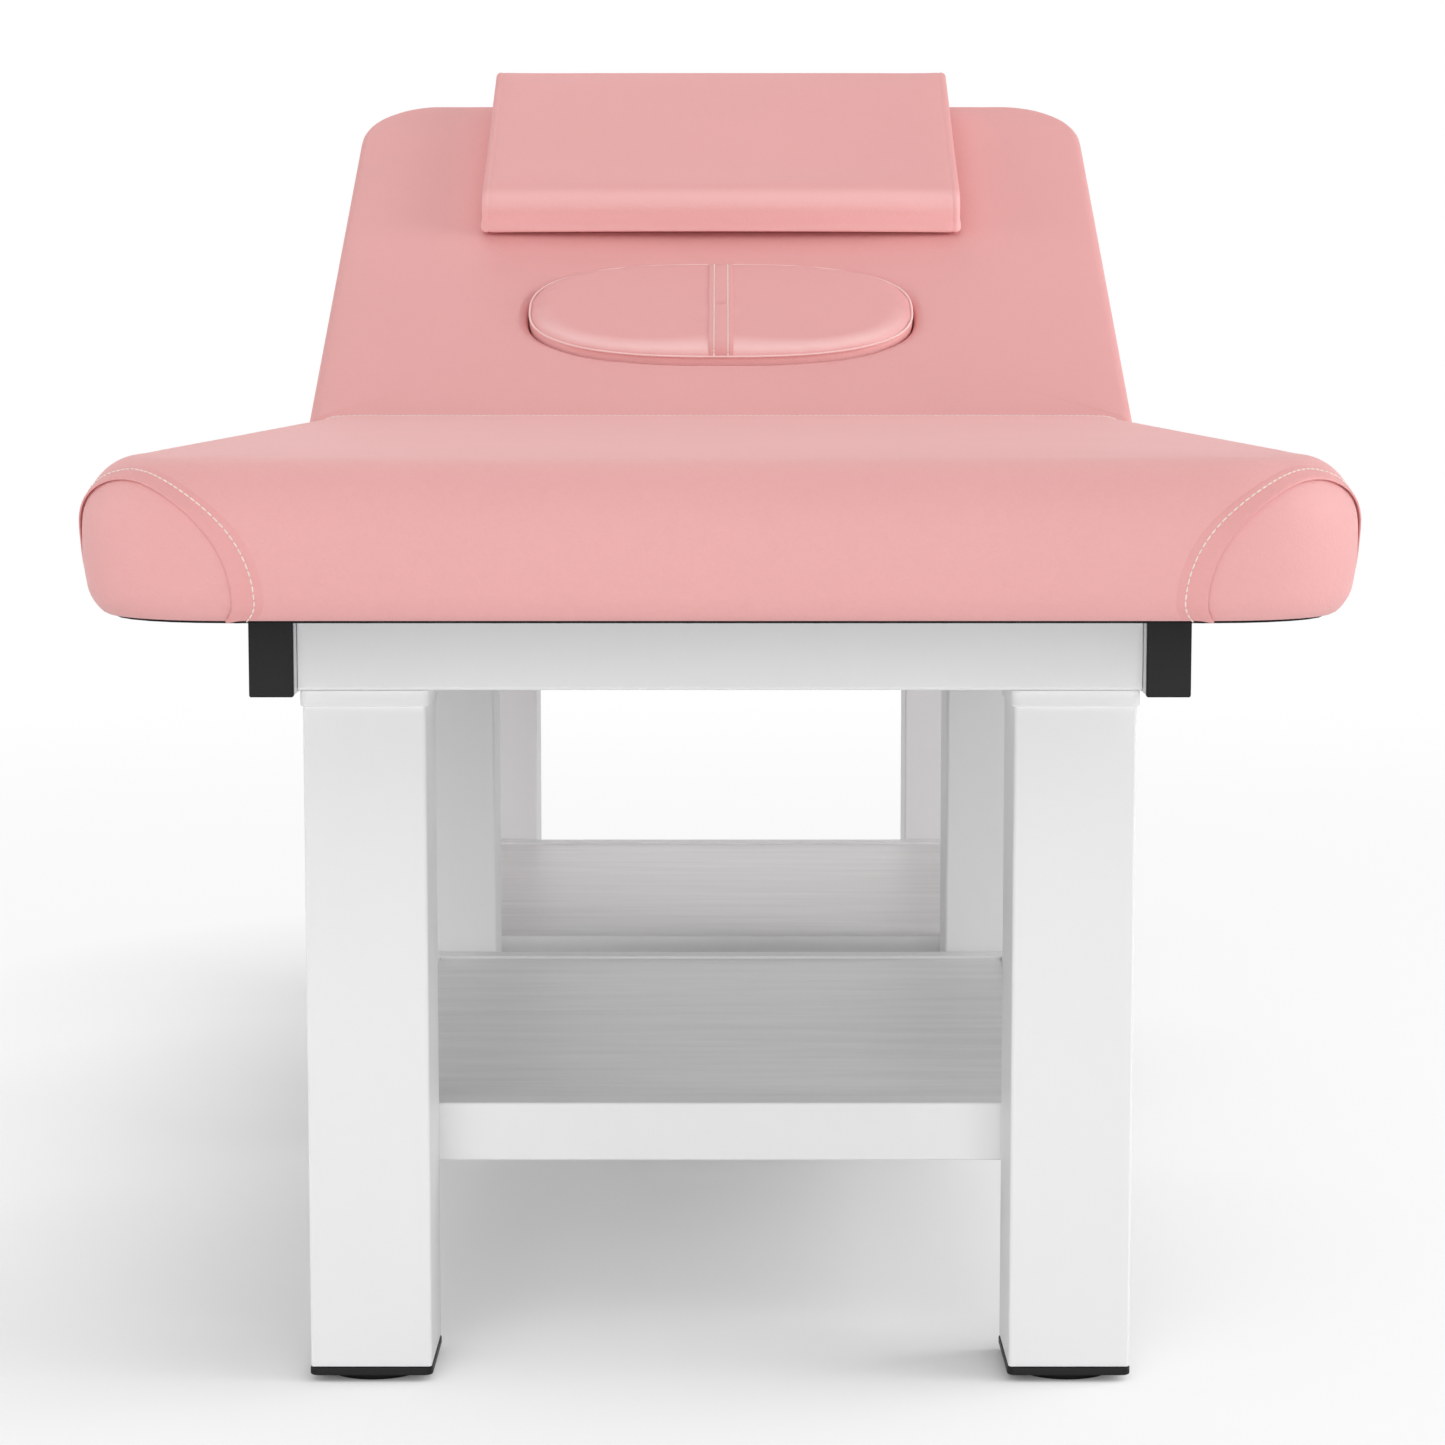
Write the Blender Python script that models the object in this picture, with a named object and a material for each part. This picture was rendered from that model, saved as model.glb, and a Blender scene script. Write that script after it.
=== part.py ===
# Treatment bed with a tilting backrest, as sold for eyelash work.
# Metres, +Z up. +Y runs from the foot end to the head end, X is across the bed.
# The origin lies on the floor, under the middle of the bed's length and width.

import math

import bmesh
import bpy

# Gaps between pieces that touch, and the overrun of a cutting shape
TOUCH_GAP = 0.0003
CUT_OVERRUN = 0.002

# Square legs. Lengthwise places count from the front faces of the front legs
LEG_SIZE = 0.070
LEG_WALL = 0.002
LEG_EDGE_RADIUS = 0.004
LEG_OUTER_HALF = 0.2371
LEG_PITCH = 0.5985
LEG_ROWS = ("front", "middle", "rear")
SIDES = {"left": -1, "right": 1}

# Black plug in a leg's foot and the levelling foot screwed into it
PLUG_LIP = 0.0006
PLUG_FLANGE = 0.0048
PLUG_SPIGOT = 0.020
GLIDE_RADIUS = 0.0305
GLIDE_THICKNESS = 0.0039
GLIDE_CHAMFER = 0.0008
STEM_RADIUS = 0.005
STEM_LENGTH = 0.018

# Collar over a leg's top end
COLLAR_LIP = 0.0016
COLLAR_HEIGHT = 0.0096
COLLAR_TOP = 0.002

# Side rails with their end caps
BOARD_BOTTOM = 0.4512
RAIL_INNER_HALF = 0.2395
RAIL_WIDTH = 0.025
RAIL_HEIGHT = 0.0497
RAIL_WALL = 0.0015
RAIL_EDGE_RADIUS = 0.002
RAIL_FRONT_OVERHANG = 0.022
RAIL_REAR_OVERHANG = 0.183
CAP_HEAD = 0.004
CAP_SPIGOT = 0.020

# Crossbeams between the side rails
BEAM_HEIGHT = 0.0473
BEAM_DEPTH = 0.050
BEAM_WALL = 0.0015
BEAM_EDGE_RADIUS = 0.003
FRONT_BEAM_OVERHANG = 0.005
HINGE_BEAM_SETBACK = 0.135

# Shelves between the legs
SHELF_TOP = 0.1497
SHELF_SIDE_SETBACK = 0.010
SHELF_TUBE_HEIGHT = 0.035
SHELF_TUBE_WIDTH = 0.020
SHELF_TUBE_WALL = 0.0015
SHELF_PANEL_THICKNESS = 0.0025
SHELF_PANEL_RECESS = 0.002

# Backrest's axis, its angle in the photograph and the steepest that it goes
HINGE_Y = 1.0275
HINGE_DROP = 0.0032
BACK_TILT = math.radians(29.1)
BACK_STEEPEST = math.radians(60)

# Cushions: seat and backrest are alike below, and the seat's top edges are rounder
BED_HALF_WIDTH = 0.350
SEAT_FRONT_OVERHANG = 0.145
BACK_LENGTH = 0.6333
CUSHION_EDGE_HEIGHT = 0.0880
CUSHION_CROWN = 0.0008
SEAT_CORNER_RADIUS = 0.0875
BACK_CORNER_RADIUS = 0.074
SQUARE_CORNER_RADIUS = 0.010
LEAST_CORNER_RADIUS = 0.003
SEAT_TOP_WIDTH = 0.033
SEAT_TOP_HEIGHT = 0.0392
BACK_TOP_RADIUS = 0.010
BOTTOM_ROUND_WIDTH = 0.019
BOTTOM_ROUND_HEIGHT = 0.0355
BOTTOM_ROUND_ANGLE = math.radians(75)
BOTTOM_ROUND_STEPS = 4
TOP_ROUND_STEPS = 6
COVER_LIP = 0.0011
CORNER_STEPS = 7
CROWN_SHARES = (0.08, 0.22, 0.45, 0.72)

# Ends of the two cushions that face each other at the fold
SEAT_REAR_ROUND_WIDTH = 0.020
SEAT_REAR_ROUND_HEIGHT = 0.012
BACK_NEAR_RADIUS = 0.020
SWING_GAP = 0.002

# Boards under the cushions
BOARD_THICKNESS = 0.012
BOARD_INSET = 0.019
BOARD_REAR_INSET = 0.020

# Hole for the face, with its plug. The hole is an oval across the backrest
FACE_PLACE = 0.1995
PLUG_HALF_LENGTH = 0.168
PLUG_HALF_WIDTH = 0.0835
OVAL_POWER = 2.6
FACE_GROOVE = 0.0025
FACE_FLARE = 0.0025
FACE_STEPS = 40
FACE_LEDGE = 0.022
PLUG_RISE = 0.0045
PLUG_DOME = 0.004
PLUG_EDGE_RADIUS = 0.005
SEAM_HALF_PITCH = 0.0108
SEAM_HALF_WIDTH = 0.003
SEAM_DEPTH = 0.0015
PLUG_END_SHARES = (0.99, 0.955, 0.90, 0.82, 0.70, 0.55, 0.36, 0.20)
PLUG_SECTION_STEPS = 6

# Loose head pillow
PILLOW_PLACE = 0.4838
PILLOW_LENGTH = 0.442
PILLOW_DEPTH = 0.270
PILLOW_THICKNESS = 0.040
PILLOW_NEAR_RADIUS = 0.018
PILLOW_EDGE_RADIUS = 0.004
PILLOW_LEAST_RADIUS = 0.001
PILLOW_END_RADIUS = 0.005
PILLOW_END_STEPS = 4
PILLOW_ROUND_STEPS = 6

# Ratchet hinges under the backrest
HINGE_PLATE = 0.003
HINGE_LUG_RADIUS = 0.010
HINGE_BASE_REACH = 0.070
HINGE_BASE_DROP = 0.038
HINGE_BASE_TOP_DROP = 0.008
HINGE_ARM_LENGTH = 0.150
HINGE_ARM_DEPTH = 0.012
HINGE_FLANGE_WIDTH = 0.020
HINGE_FLANGE_START = 0.025
PIN_RADIUS = 0.003
PIN_HEAD_RADIUS = 0.006
PIN_HEAD = 0.0025
LUG_STEPS = 12
ROUND_STEPS = 24

# Heights and places that follow from the sizes above
PLUG_BOTTOM = GLIDE_THICKNESS + TOUCH_GAP
LEG_BOTTOM = PLUG_BOTTOM + PLUG_FLANGE + TOUCH_GAP
RAIL_TOP = BOARD_BOTTOM - TOUCH_GAP
BEAM_BOTTOM = RAIL_TOP - BEAM_HEIGHT
COLLAR_BOTTOM = BEAM_BOTTOM - TOUCH_GAP - COLLAR_HEIGHT
LEG_TOP = BEAM_BOTTOM - TOUCH_GAP - COLLAR_TOP - TOUCH_GAP
LEG_CENTRE_X = LEG_OUTER_HALF - LEG_SIZE / 2
HINGE_Z = BOARD_BOTTOM - HINGE_DROP
LOW_ROUND_MIDDLE = COVER_LIP + BOTTOM_ROUND_HEIGHT * math.sin(BOTTOM_ROUND_ANGLE)
CUSHION_TOP = CUSHION_EDGE_HEIGHT + CUSHION_CROWN
BACK_SURFACE = HINGE_DROP + CUSHION_TOP
BACK_END_DROP = HINGE_DROP + LOW_ROUND_MIDDLE

# The backrest's far end reaches furthest on its lower rounding
BACK_REACH = (
    HINGE_Y
    + (BACK_LENGTH - BOTTOM_ROUND_WIDTH) * math.cos(BACK_TILT)
    - BACK_END_DROP * math.sin(BACK_TILT)
    + math.hypot(BOTTOM_ROUND_WIDTH * math.cos(BACK_TILT), BOTTOM_ROUND_HEIGHT * math.sin(BACK_TILT))
)
LENGTH_CENTRE = (BACK_REACH - SEAT_FRONT_OVERHANG) / 2


# Scene and materials

def clear_scene():
    for item in list(bpy.data.objects):
        bpy.data.objects.remove(item, do_unlink=True)


def make_material(name, colour, roughness, metallic=0.0):
    material = bpy.data.materials.new(name)
    material.use_nodes = True
    shader = material.node_tree.nodes["Principled BSDF"]
    shader.inputs["Base Color"].default_value = (*colour, 1.0)
    shader.inputs["Roughness"].default_value = roughness
    shader.inputs["Metallic"].default_value = metallic
    return material


def make_materials():
    return {
        "leg": make_material("leg_paint", (0.86, 0.86, 0.86), 0.35),
        "collar": make_material("collar_paint", (0.88, 0.88, 0.88), 0.40),
        "beam": make_material("beam_paint", (0.84, 0.84, 0.84), 0.35),
        "rail": make_material("rail_paint", (0.82, 0.82, 0.82), 0.35),
        "cap": make_material("cap_plastic", (0.028, 0.028, 0.03), 0.50),
        "plug": make_material("plug_plastic", (0.015, 0.015, 0.016), 0.50),
        "glide": make_material("glide_rubber", (0.012, 0.012, 0.012), 0.70),
        "shelf_tube": make_material("shelf_paint", (0.85, 0.85, 0.86), 0.35),
        "shelf_panel": make_material("shelf_panel_metal", (0.50, 0.50, 0.50), 0.30, 0.9),
        "board": make_material("board_black", (0.02, 0.018, 0.018), 0.80),
        "cushion": make_material("cushion_leather", (0.83, 0.46, 0.44), 0.50),
        "face_plug": make_material("face_plug_leather", (0.78, 0.41, 0.40), 0.50),
        "pillow": make_material("pillow_leather", (0.80, 0.43, 0.42), 0.50),
        "hinge": make_material("hinge_steel", (0.55, 0.55, 0.56), 0.35, 1.0),
    }


# Outlines, as lists of flat points that run anticlockwise

def rounded_box(low_u, high_u, low_v, high_v, low_radius, high_radius, steps):
    """Rectangle whose corners at low_v and at high_v have their own radii."""
    corners = (
        (high_u - low_radius, low_v + low_radius, low_radius, -math.pi / 2),
        (high_u - high_radius, high_v - high_radius, high_radius, 0.0),
        (low_u + high_radius, high_v - high_radius, high_radius, math.pi / 2),
        (low_u + low_radius, low_v + low_radius, low_radius, math.pi),
    )
    points = []
    for centre_u, centre_v, radius, start in corners:
        for step in range(steps + 1):
            angle = start + step / steps * math.pi / 2
            points.append((centre_u + radius * math.cos(angle), centre_v + radius * math.sin(angle)))
    return points


def centred_box(width, height, radius, steps=3):
    return rounded_box(-width / 2, width / 2, -height / 2, height / 2, radius, radius, steps)


def circle(radius, count, start=0.0):
    angles = [start + 2 * math.pi * step / count for step in range(count)]
    return [(radius * math.cos(angle), radius * math.sin(angle)) for angle in angles]


def oval(half_length, half_width, count):
    """Flattened oval, fuller than an ellipse."""
    points = []
    for step in range(count):
        angle = 2 * math.pi * step / count
        along = math.cos(angle)
        across = math.sin(angle)
        points.append((
            half_length * math.copysign(abs(along) ** (2 / OVAL_POWER), along),
            half_width * math.copysign(abs(across) ** (2 / OVAL_POWER), across),
        ))
    return points


# Solids made of rings of points

def lay(points, height, axis="Z"):
    """Put a flat outline at a height along an axis."""
    if axis == "X":
        return [(height, u, v) for u, v in points]
    if axis == "Y":
        return [(u, height, v) for u, v in points]
    return [(u, v, height) for u, v in points]


def loft(name, rings, material, tube=False, smooth_angle=None):
    """Skin from ring to ring. A tube's last ring joins its first, other solids get two end faces."""
    shape = bmesh.new()
    rows = [[shape.verts.new(point) for point in ring] for ring in rings]
    following = rows[1:] + rows[:1] if tube else rows[1:]
    for row, after in zip(rows, following):
        count = len(row)
        for index in range(count):
            beside = (index + 1) % count
            shape.faces.new((row[index], row[beside], after[beside], after[index]))
    if not tube:
        shape.faces.new(rows[0])
        shape.faces.new(rows[-1])
    bmesh.ops.recalc_face_normals(shape, faces=shape.faces)
    mesh = bpy.data.meshes.new(name)
    shape.to_mesh(mesh)
    shape.free()
    if smooth_angle is not None:
        mesh.shade_smooth()
        mesh.set_sharp_from_angle(angle=smooth_angle)
    mesh.materials.append(material)
    return mesh


def add_object(name, mesh, parent, location=(0, 0, 0)):
    item = bpy.data.objects.new(name, mesh)
    item.location = location
    item.parent = parent
    bpy.context.scene.collection.objects.link(item)
    return item


def add_empty(name, parent, location):
    item = bpy.data.objects.new(name, None)
    item.location = location
    item.parent = parent
    bpy.context.scene.collection.objects.link(item)
    return item


def hollow_tube(name, outer, inner, low, high, axis, material):
    rings = [lay(outer, low, axis), lay(outer, high, axis), lay(inner, high, axis), lay(inner, low, axis)]
    return loft(name, rings, material, tube=True)


def add_cutter(name, mesh, parent, target, operation="DIFFERENCE", location=(0, 0, 0)):
    cutter = add_object(name, mesh, parent, location)
    cutter.hide_render = True
    cutter.display_type = "WIRE"
    modifier = target.modifiers.new(name, "BOOLEAN")
    modifier.operation = operation
    modifier.solver = "EXACT"
    modifier.object = cutter
    return cutter


# Legs with their feet and collars

def leg_places():
    for row, row_name in enumerate(LEG_ROWS):
        for side_name, side in SIDES.items():
            yield f"{row_name}_{side_name}", side * LEG_CENTRE_X, row * LEG_PITCH + LEG_SIZE / 2


def add_legs(datum, materials):
    outer = centred_box(LEG_SIZE, LEG_SIZE, LEG_EDGE_RADIUS)
    bore = LEG_SIZE - 2 * LEG_WALL
    inner = centred_box(bore, bore, LEG_EDGE_RADIUS - LEG_WALL)
    mesh = hollow_tube("leg", outer, inner, LEG_BOTTOM, LEG_TOP, "Z", materials["leg"])
    for place, x, y in leg_places():
        add_object(f"leg_{place}", mesh, datum, (x, y, 0))


def add_collars(datum, materials):
    outside = LEG_SIZE + 2 * COLLAR_LIP
    inside = LEG_SIZE + 2 * TOUCH_GAP
    outer = centred_box(outside, outside, LEG_EDGE_RADIUS)
    inner = centred_box(inside, inside, LEG_EDGE_RADIUS)
    top = COLLAR_BOTTOM + COLLAR_HEIGHT
    rings = [
        lay(inner, top - COLLAR_TOP),
        lay(inner, COLLAR_BOTTOM),
        lay(outer, COLLAR_BOTTOM),
        lay(outer, top),
    ]
    mesh = loft("collar", rings, materials["collar"])
    for place, x, y in leg_places():
        add_object(f"collar_{place}", mesh, datum, (x, y, 0))


def add_foot_plugs(datum, materials):
    flange_size = LEG_SIZE + 2 * PLUG_LIP
    spigot_size = LEG_SIZE - 2 * LEG_WALL - 2 * TOUCH_GAP
    steps = ROUND_STEPS // 4 - 1
    flange = centred_box(flange_size, flange_size, LEG_EDGE_RADIUS, steps)
    spigot = centred_box(spigot_size, spigot_size, LEG_EDGE_RADIUS - LEG_WALL, steps)
    bore = circle(STEM_RADIUS + TOUCH_GAP, ROUND_STEPS, -math.pi / 2 + math.pi / ROUND_STEPS)
    flange_top = PLUG_BOTTOM + PLUG_FLANGE
    rings = [
        lay(flange, PLUG_BOTTOM),
        lay(flange, flange_top),
        lay(spigot, flange_top),
        lay(spigot, flange_top + PLUG_SPIGOT),
        lay(bore, flange_top + PLUG_SPIGOT),
        lay(bore, PLUG_BOTTOM),
    ]
    mesh = loft("foot_plug", rings, materials["plug"], tube=True)
    for place, x, y in leg_places():
        add_object(f"foot_plug_{place}", mesh, datum, (x, y, 0))


def add_glides(datum, materials):
    disc = circle(GLIDE_RADIUS, ROUND_STEPS)
    worn = circle(GLIDE_RADIUS - GLIDE_CHAMFER, ROUND_STEPS)
    stem = circle(STEM_RADIUS, ROUND_STEPS)
    rings = [
        lay(worn, 0),
        lay(disc, GLIDE_CHAMFER),
        lay(disc, GLIDE_THICKNESS),
        lay(stem, GLIDE_THICKNESS),
        lay(stem, GLIDE_THICKNESS + STEM_LENGTH),
    ]
    mesh = loft("levelling_foot", rings, materials["glide"], smooth_angle=math.radians(30))
    for place, x, y in leg_places():
        add_object(f"levelling_foot_{place}", mesh, datum, (x, y, 0))


# Frame under the boards

def rail_span():
    low = CAP_HEAD - RAIL_FRONT_OVERHANG
    high = 2 * LEG_PITCH + LEG_SIZE + RAIL_REAR_OVERHANG
    return low, high


def add_side_rails(datum, materials):
    bore_width = RAIL_WIDTH - 2 * RAIL_WALL
    bore_height = RAIL_HEIGHT - 2 * RAIL_WALL
    outer = centred_box(RAIL_WIDTH, RAIL_HEIGHT, RAIL_EDGE_RADIUS)
    inner = centred_box(bore_width, bore_height, RAIL_EDGE_RADIUS - RAIL_WALL)
    spigot = centred_box(bore_width - 2 * TOUCH_GAP, bore_height - 2 * TOUCH_GAP, RAIL_EDGE_RADIUS - RAIL_WALL)
    low, high = rail_span()
    rail_mesh = hollow_tube("side_rail", outer, inner, low + TOUCH_GAP, high - TOUCH_GAP, "Y", materials["rail"])
    x = RAIL_INNER_HALF + RAIL_WIDTH / 2
    z = RAIL_TOP - RAIL_HEIGHT / 2
    for side_name, side in SIDES.items():
        add_object(f"side_rail_{side_name}", rail_mesh, datum, (side * x, 0, z))
    for end_name, face, outward in (("front", low, -1), ("rear", high, 1)):
        rings = [
            lay(outer, face + outward * CAP_HEAD, "Y"),
            lay(outer, face, "Y"),
            lay(spigot, face, "Y"),
            lay(spigot, face - outward * CAP_SPIGOT, "Y"),
        ]
        cap_mesh = loft(f"rail_cap_{end_name}", rings, materials["cap"])
        for side_name, side in SIDES.items():
            add_object(f"rail_cap_{end_name}_{side_name}", cap_mesh, datum, (side * x, 0, z))


def add_crossbeams(datum, materials):
    outer = centred_box(BEAM_DEPTH, BEAM_HEIGHT, BEAM_EDGE_RADIUS)
    inner = centred_box(
        BEAM_DEPTH - 2 * BEAM_WALL, BEAM_HEIGHT - 2 * BEAM_WALL, BEAM_EDGE_RADIUS - BEAM_WALL)
    end = RAIL_INNER_HALF - TOUCH_GAP
    mesh = hollow_tube("crossbeam", outer, inner, -end, end, "X", materials["beam"])
    places = {
        "front": BEAM_DEPTH / 2 - FRONT_BEAM_OVERHANG,
        "middle": LEG_PITCH + LEG_SIZE / 2,
        "hinge": HINGE_Y - HINGE_BEAM_SETBACK,
        "rear": 2 * LEG_PITCH + LEG_SIZE / 2,
    }
    for place, y in places.items():
        add_object(f"crossbeam_{place}", mesh, datum, (0, y, BEAM_BOTTOM + BEAM_HEIGHT / 2))


# Shelves: four mitred tubes round a sheet

def mitred_tube(name, length, axis, material):
    """Tube whose ends are cut at 45 degrees, so that its side at +v of the frame is the longer one."""
    width = SHELF_TUBE_WIDTH
    height = SHELF_TUBE_HEIGHT
    wall = SHELF_TUBE_WALL
    outer = [(0, -height), (width, -height), (width, 0), (0, 0)]
    inner = [(wall, wall - height), (width - wall, wall - height), (width - wall, -wall), (wall, -wall)]
    rings = []
    for outline, side in ((outer, -1), (outer, 1), (inner, 1), (inner, -1)):
        ring = []
        for inward, z in outline:
            along = side * (length / 2 - inward - TOUCH_GAP)
            ring.append((along, inward, z) if axis == "X" else (inward, along, z))
        rings.append(ring)
    return loft(name, rings, material, tube=True)


def add_shelves(datum, materials):
    half_width = LEG_OUTER_HALF - SHELF_SIDE_SETBACK
    depth = LEG_PITCH - LEG_SIZE - 2 * TOUCH_GAP
    cross_mesh = mitred_tube("shelf_cross_tube", 2 * half_width, "X", materials["shelf_tube"])
    long_mesh = mitred_tube("shelf_long_tube", depth, "Y", materials["shelf_tube"])
    panel_outline = centred_box(
        2 * (half_width - SHELF_TUBE_WIDTH - TOUCH_GAP), depth - 2 * (SHELF_TUBE_WIDTH + TOUCH_GAP),
        SHELF_TUBE_WALL, 2)
    panel_top = SHELF_TOP - SHELF_PANEL_RECESS
    panel_mesh = loft(
        "shelf_panel", [lay(panel_outline, panel_top - SHELF_PANEL_THICKNESS), lay(panel_outline, panel_top)],
        materials["shelf_panel"])
    for bay, bay_name in enumerate(("front", "rear")):
        middle = bay * LEG_PITCH + (LEG_PITCH + LEG_SIZE) / 2
        # Each tube is turned so that its outer side faces out of the frame
        turns = {
            "front": (cross_mesh, 0.0, (0, middle - depth / 2, SHELF_TOP)),
            "rear": (cross_mesh, math.pi, (0, middle + depth / 2, SHELF_TOP)),
            "left": (long_mesh, 0.0, (-half_width, middle, SHELF_TOP)),
            "right": (long_mesh, math.pi, (half_width, middle, SHELF_TOP)),
        }
        for side_name, (mesh, turn, location) in turns.items():
            tube = add_object(f"{bay_name}_shelf_tube_{side_name}", mesh, datum, location)
            tube.rotation_euler.z = turn
        add_object(f"{bay_name}_shelf_panel", panel_mesh, datum, (0, middle, 0))


# Cushions and their boards. Heights count from the boards' undersides

def section_levels(top_width, top_height):
    """Pairs of inset and height, up the side of a cushion from its lower lip to its top edge."""
    high_middle = CUSHION_EDGE_HEIGHT - top_height
    levels = []
    for step in range(BOTTOM_ROUND_STEPS + 1):
        angle = BOTTOM_ROUND_ANGLE * (1 - step / BOTTOM_ROUND_STEPS)
        inset = BOTTOM_ROUND_WIDTH * (1 - math.cos(angle))
        levels.append((inset, LOW_ROUND_MIDDLE - BOTTOM_ROUND_HEIGHT * math.sin(angle)))
    for step in range(TOP_ROUND_STEPS + 1):
        angle = math.pi / 2 * step / TOP_ROUND_STEPS
        inset = top_width * (1 - math.cos(angle))
        levels.append((inset, high_middle + top_height * math.sin(angle)))
    return levels


def round_inset(height, top, width, drop):
    """How far an end's rounded top edge is drawn in at a height."""
    rise = (height - (top - drop)) / drop
    if rise <= 0:
        return 0.0
    return width * (1 - math.sqrt(max(0.0, 1 - rise * rise)))


def lower_inset(height):
    """How far an end is drawn in on its lower rounding at a height."""
    drop = (LOW_ROUND_MIDDLE - height) / BOTTOM_ROUND_HEIGHT
    if drop <= 0:
        return 0.0
    return BOTTOM_ROUND_WIDTH * (1 - math.sqrt(1 - drop * drop))


def full_inset(height, top_width, top_height):
    """How far the full section is drawn in at a height, on its top or lower rounding."""
    return lower_inset(height) + round_inset(height, CUSHION_EDGE_HEIGHT, top_width, top_height)


def seat_rear(height):
    """Rear end of the seat at a height: clear of the backrest at its steepest, near edge and surface."""
    over_axis = height + HINGE_DROP
    near_edge = (
        (BACK_SURFACE - BACK_NEAR_RADIUS) * math.sin(BACK_STEEPEST)
        - BACK_NEAR_RADIUS * math.cos(BACK_STEEPEST)
        + BACK_NEAR_RADIUS + SWING_GAP
    )
    surface = (BACK_SURFACE + SWING_GAP - over_axis * math.cos(BACK_STEEPEST)) / math.sin(BACK_STEEPEST)
    drawn_in = round_inset(height, CUSHION_EDGE_HEIGHT, SEAT_REAR_ROUND_WIDTH, SEAT_REAR_ROUND_HEIGHT)
    return HINGE_Y - min(near_edge, surface) - drawn_in - lower_inset(height)


def back_near(height):
    """Near end of the backrest at a height, from its axis."""
    return full_inset(height, BACK_NEAR_RADIUS, BACK_NEAR_RADIUS)


def cushion_rings(low_end, high_end, low_radius, high_radius, top_width, top_height, board):
    """Rings of a cushion, from the ceiling of its board recess to its crown.

    low_end and high_end are functions that give the ends' places at a height.
    """
    rings = [lay(board, BOARD_THICKNESS + TOUCH_GAP), lay(board, COVER_LIP)]

    def ring(inset, height, crown_inset=0.0):
        side = BED_HALF_WIDTH - inset - crown_inset
        low = low_end(height) + crown_inset
        high = high_end(height) - crown_inset
        drawn = inset + crown_inset
        return rounded_box(
            -side, side, low, high, max(low_radius - drawn, LEAST_CORNER_RADIUS),
            max(high_radius - drawn, LEAST_CORNER_RADIUS), CORNER_STEPS)

    for inset, height in section_levels(top_width, top_height):
        rings.append(lay(ring(inset, height), height))
    span = BED_HALF_WIDTH - top_width
    for share in CROWN_SHARES:
        height = CUSHION_EDGE_HEIGHT + CUSHION_CROWN * (1 - (1 - share) ** 2)
        outline = ring(top_width, CUSHION_EDGE_HEIGHT, share * span)
        rings.append(lay(outline, height))
    return rings


def board_outline(low, high, low_radius, high_radius, gap):
    side = BED_HALF_WIDTH - BOARD_INSET + gap
    return rounded_box(-side, side, low - gap, high + gap, low_radius + gap, high_radius + gap, CORNER_STEPS)


def add_board(name, outline, parent, location, material):
    mesh = loft(name, [lay(outline, 0), lay(outline, BOARD_THICKNESS)], material)
    return add_object(name, mesh, parent, location)


def add_seat(datum, materials):
    low = BOARD_INSET - SEAT_FRONT_OVERHANG
    high = seat_rear(COVER_LIP) - BOARD_REAR_INSET
    corner = SEAT_CORNER_RADIUS - BOARD_INSET
    place = (0, 0, BOARD_BOTTOM)
    outline = board_outline(low, high, corner, SQUARE_CORNER_RADIUS, 0)
    add_board("seat_board", outline, datum, place, materials["board"])
    recess = board_outline(low, high, corner, SQUARE_CORNER_RADIUS, TOUCH_GAP)

    def seat_front(height):
        return full_inset(height, SEAT_TOP_WIDTH, SEAT_TOP_HEIGHT) - SEAT_FRONT_OVERHANG

    rings = cushion_rings(
        seat_front, seat_rear, SEAT_CORNER_RADIUS, SQUARE_CORNER_RADIUS, SEAT_TOP_WIDTH, SEAT_TOP_HEIGHT, recess)
    mesh = loft("seat_cushion", rings, materials["cushion"], smooth_angle=math.radians(50))
    add_object("seat_cushion", mesh, datum, place)


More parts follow.
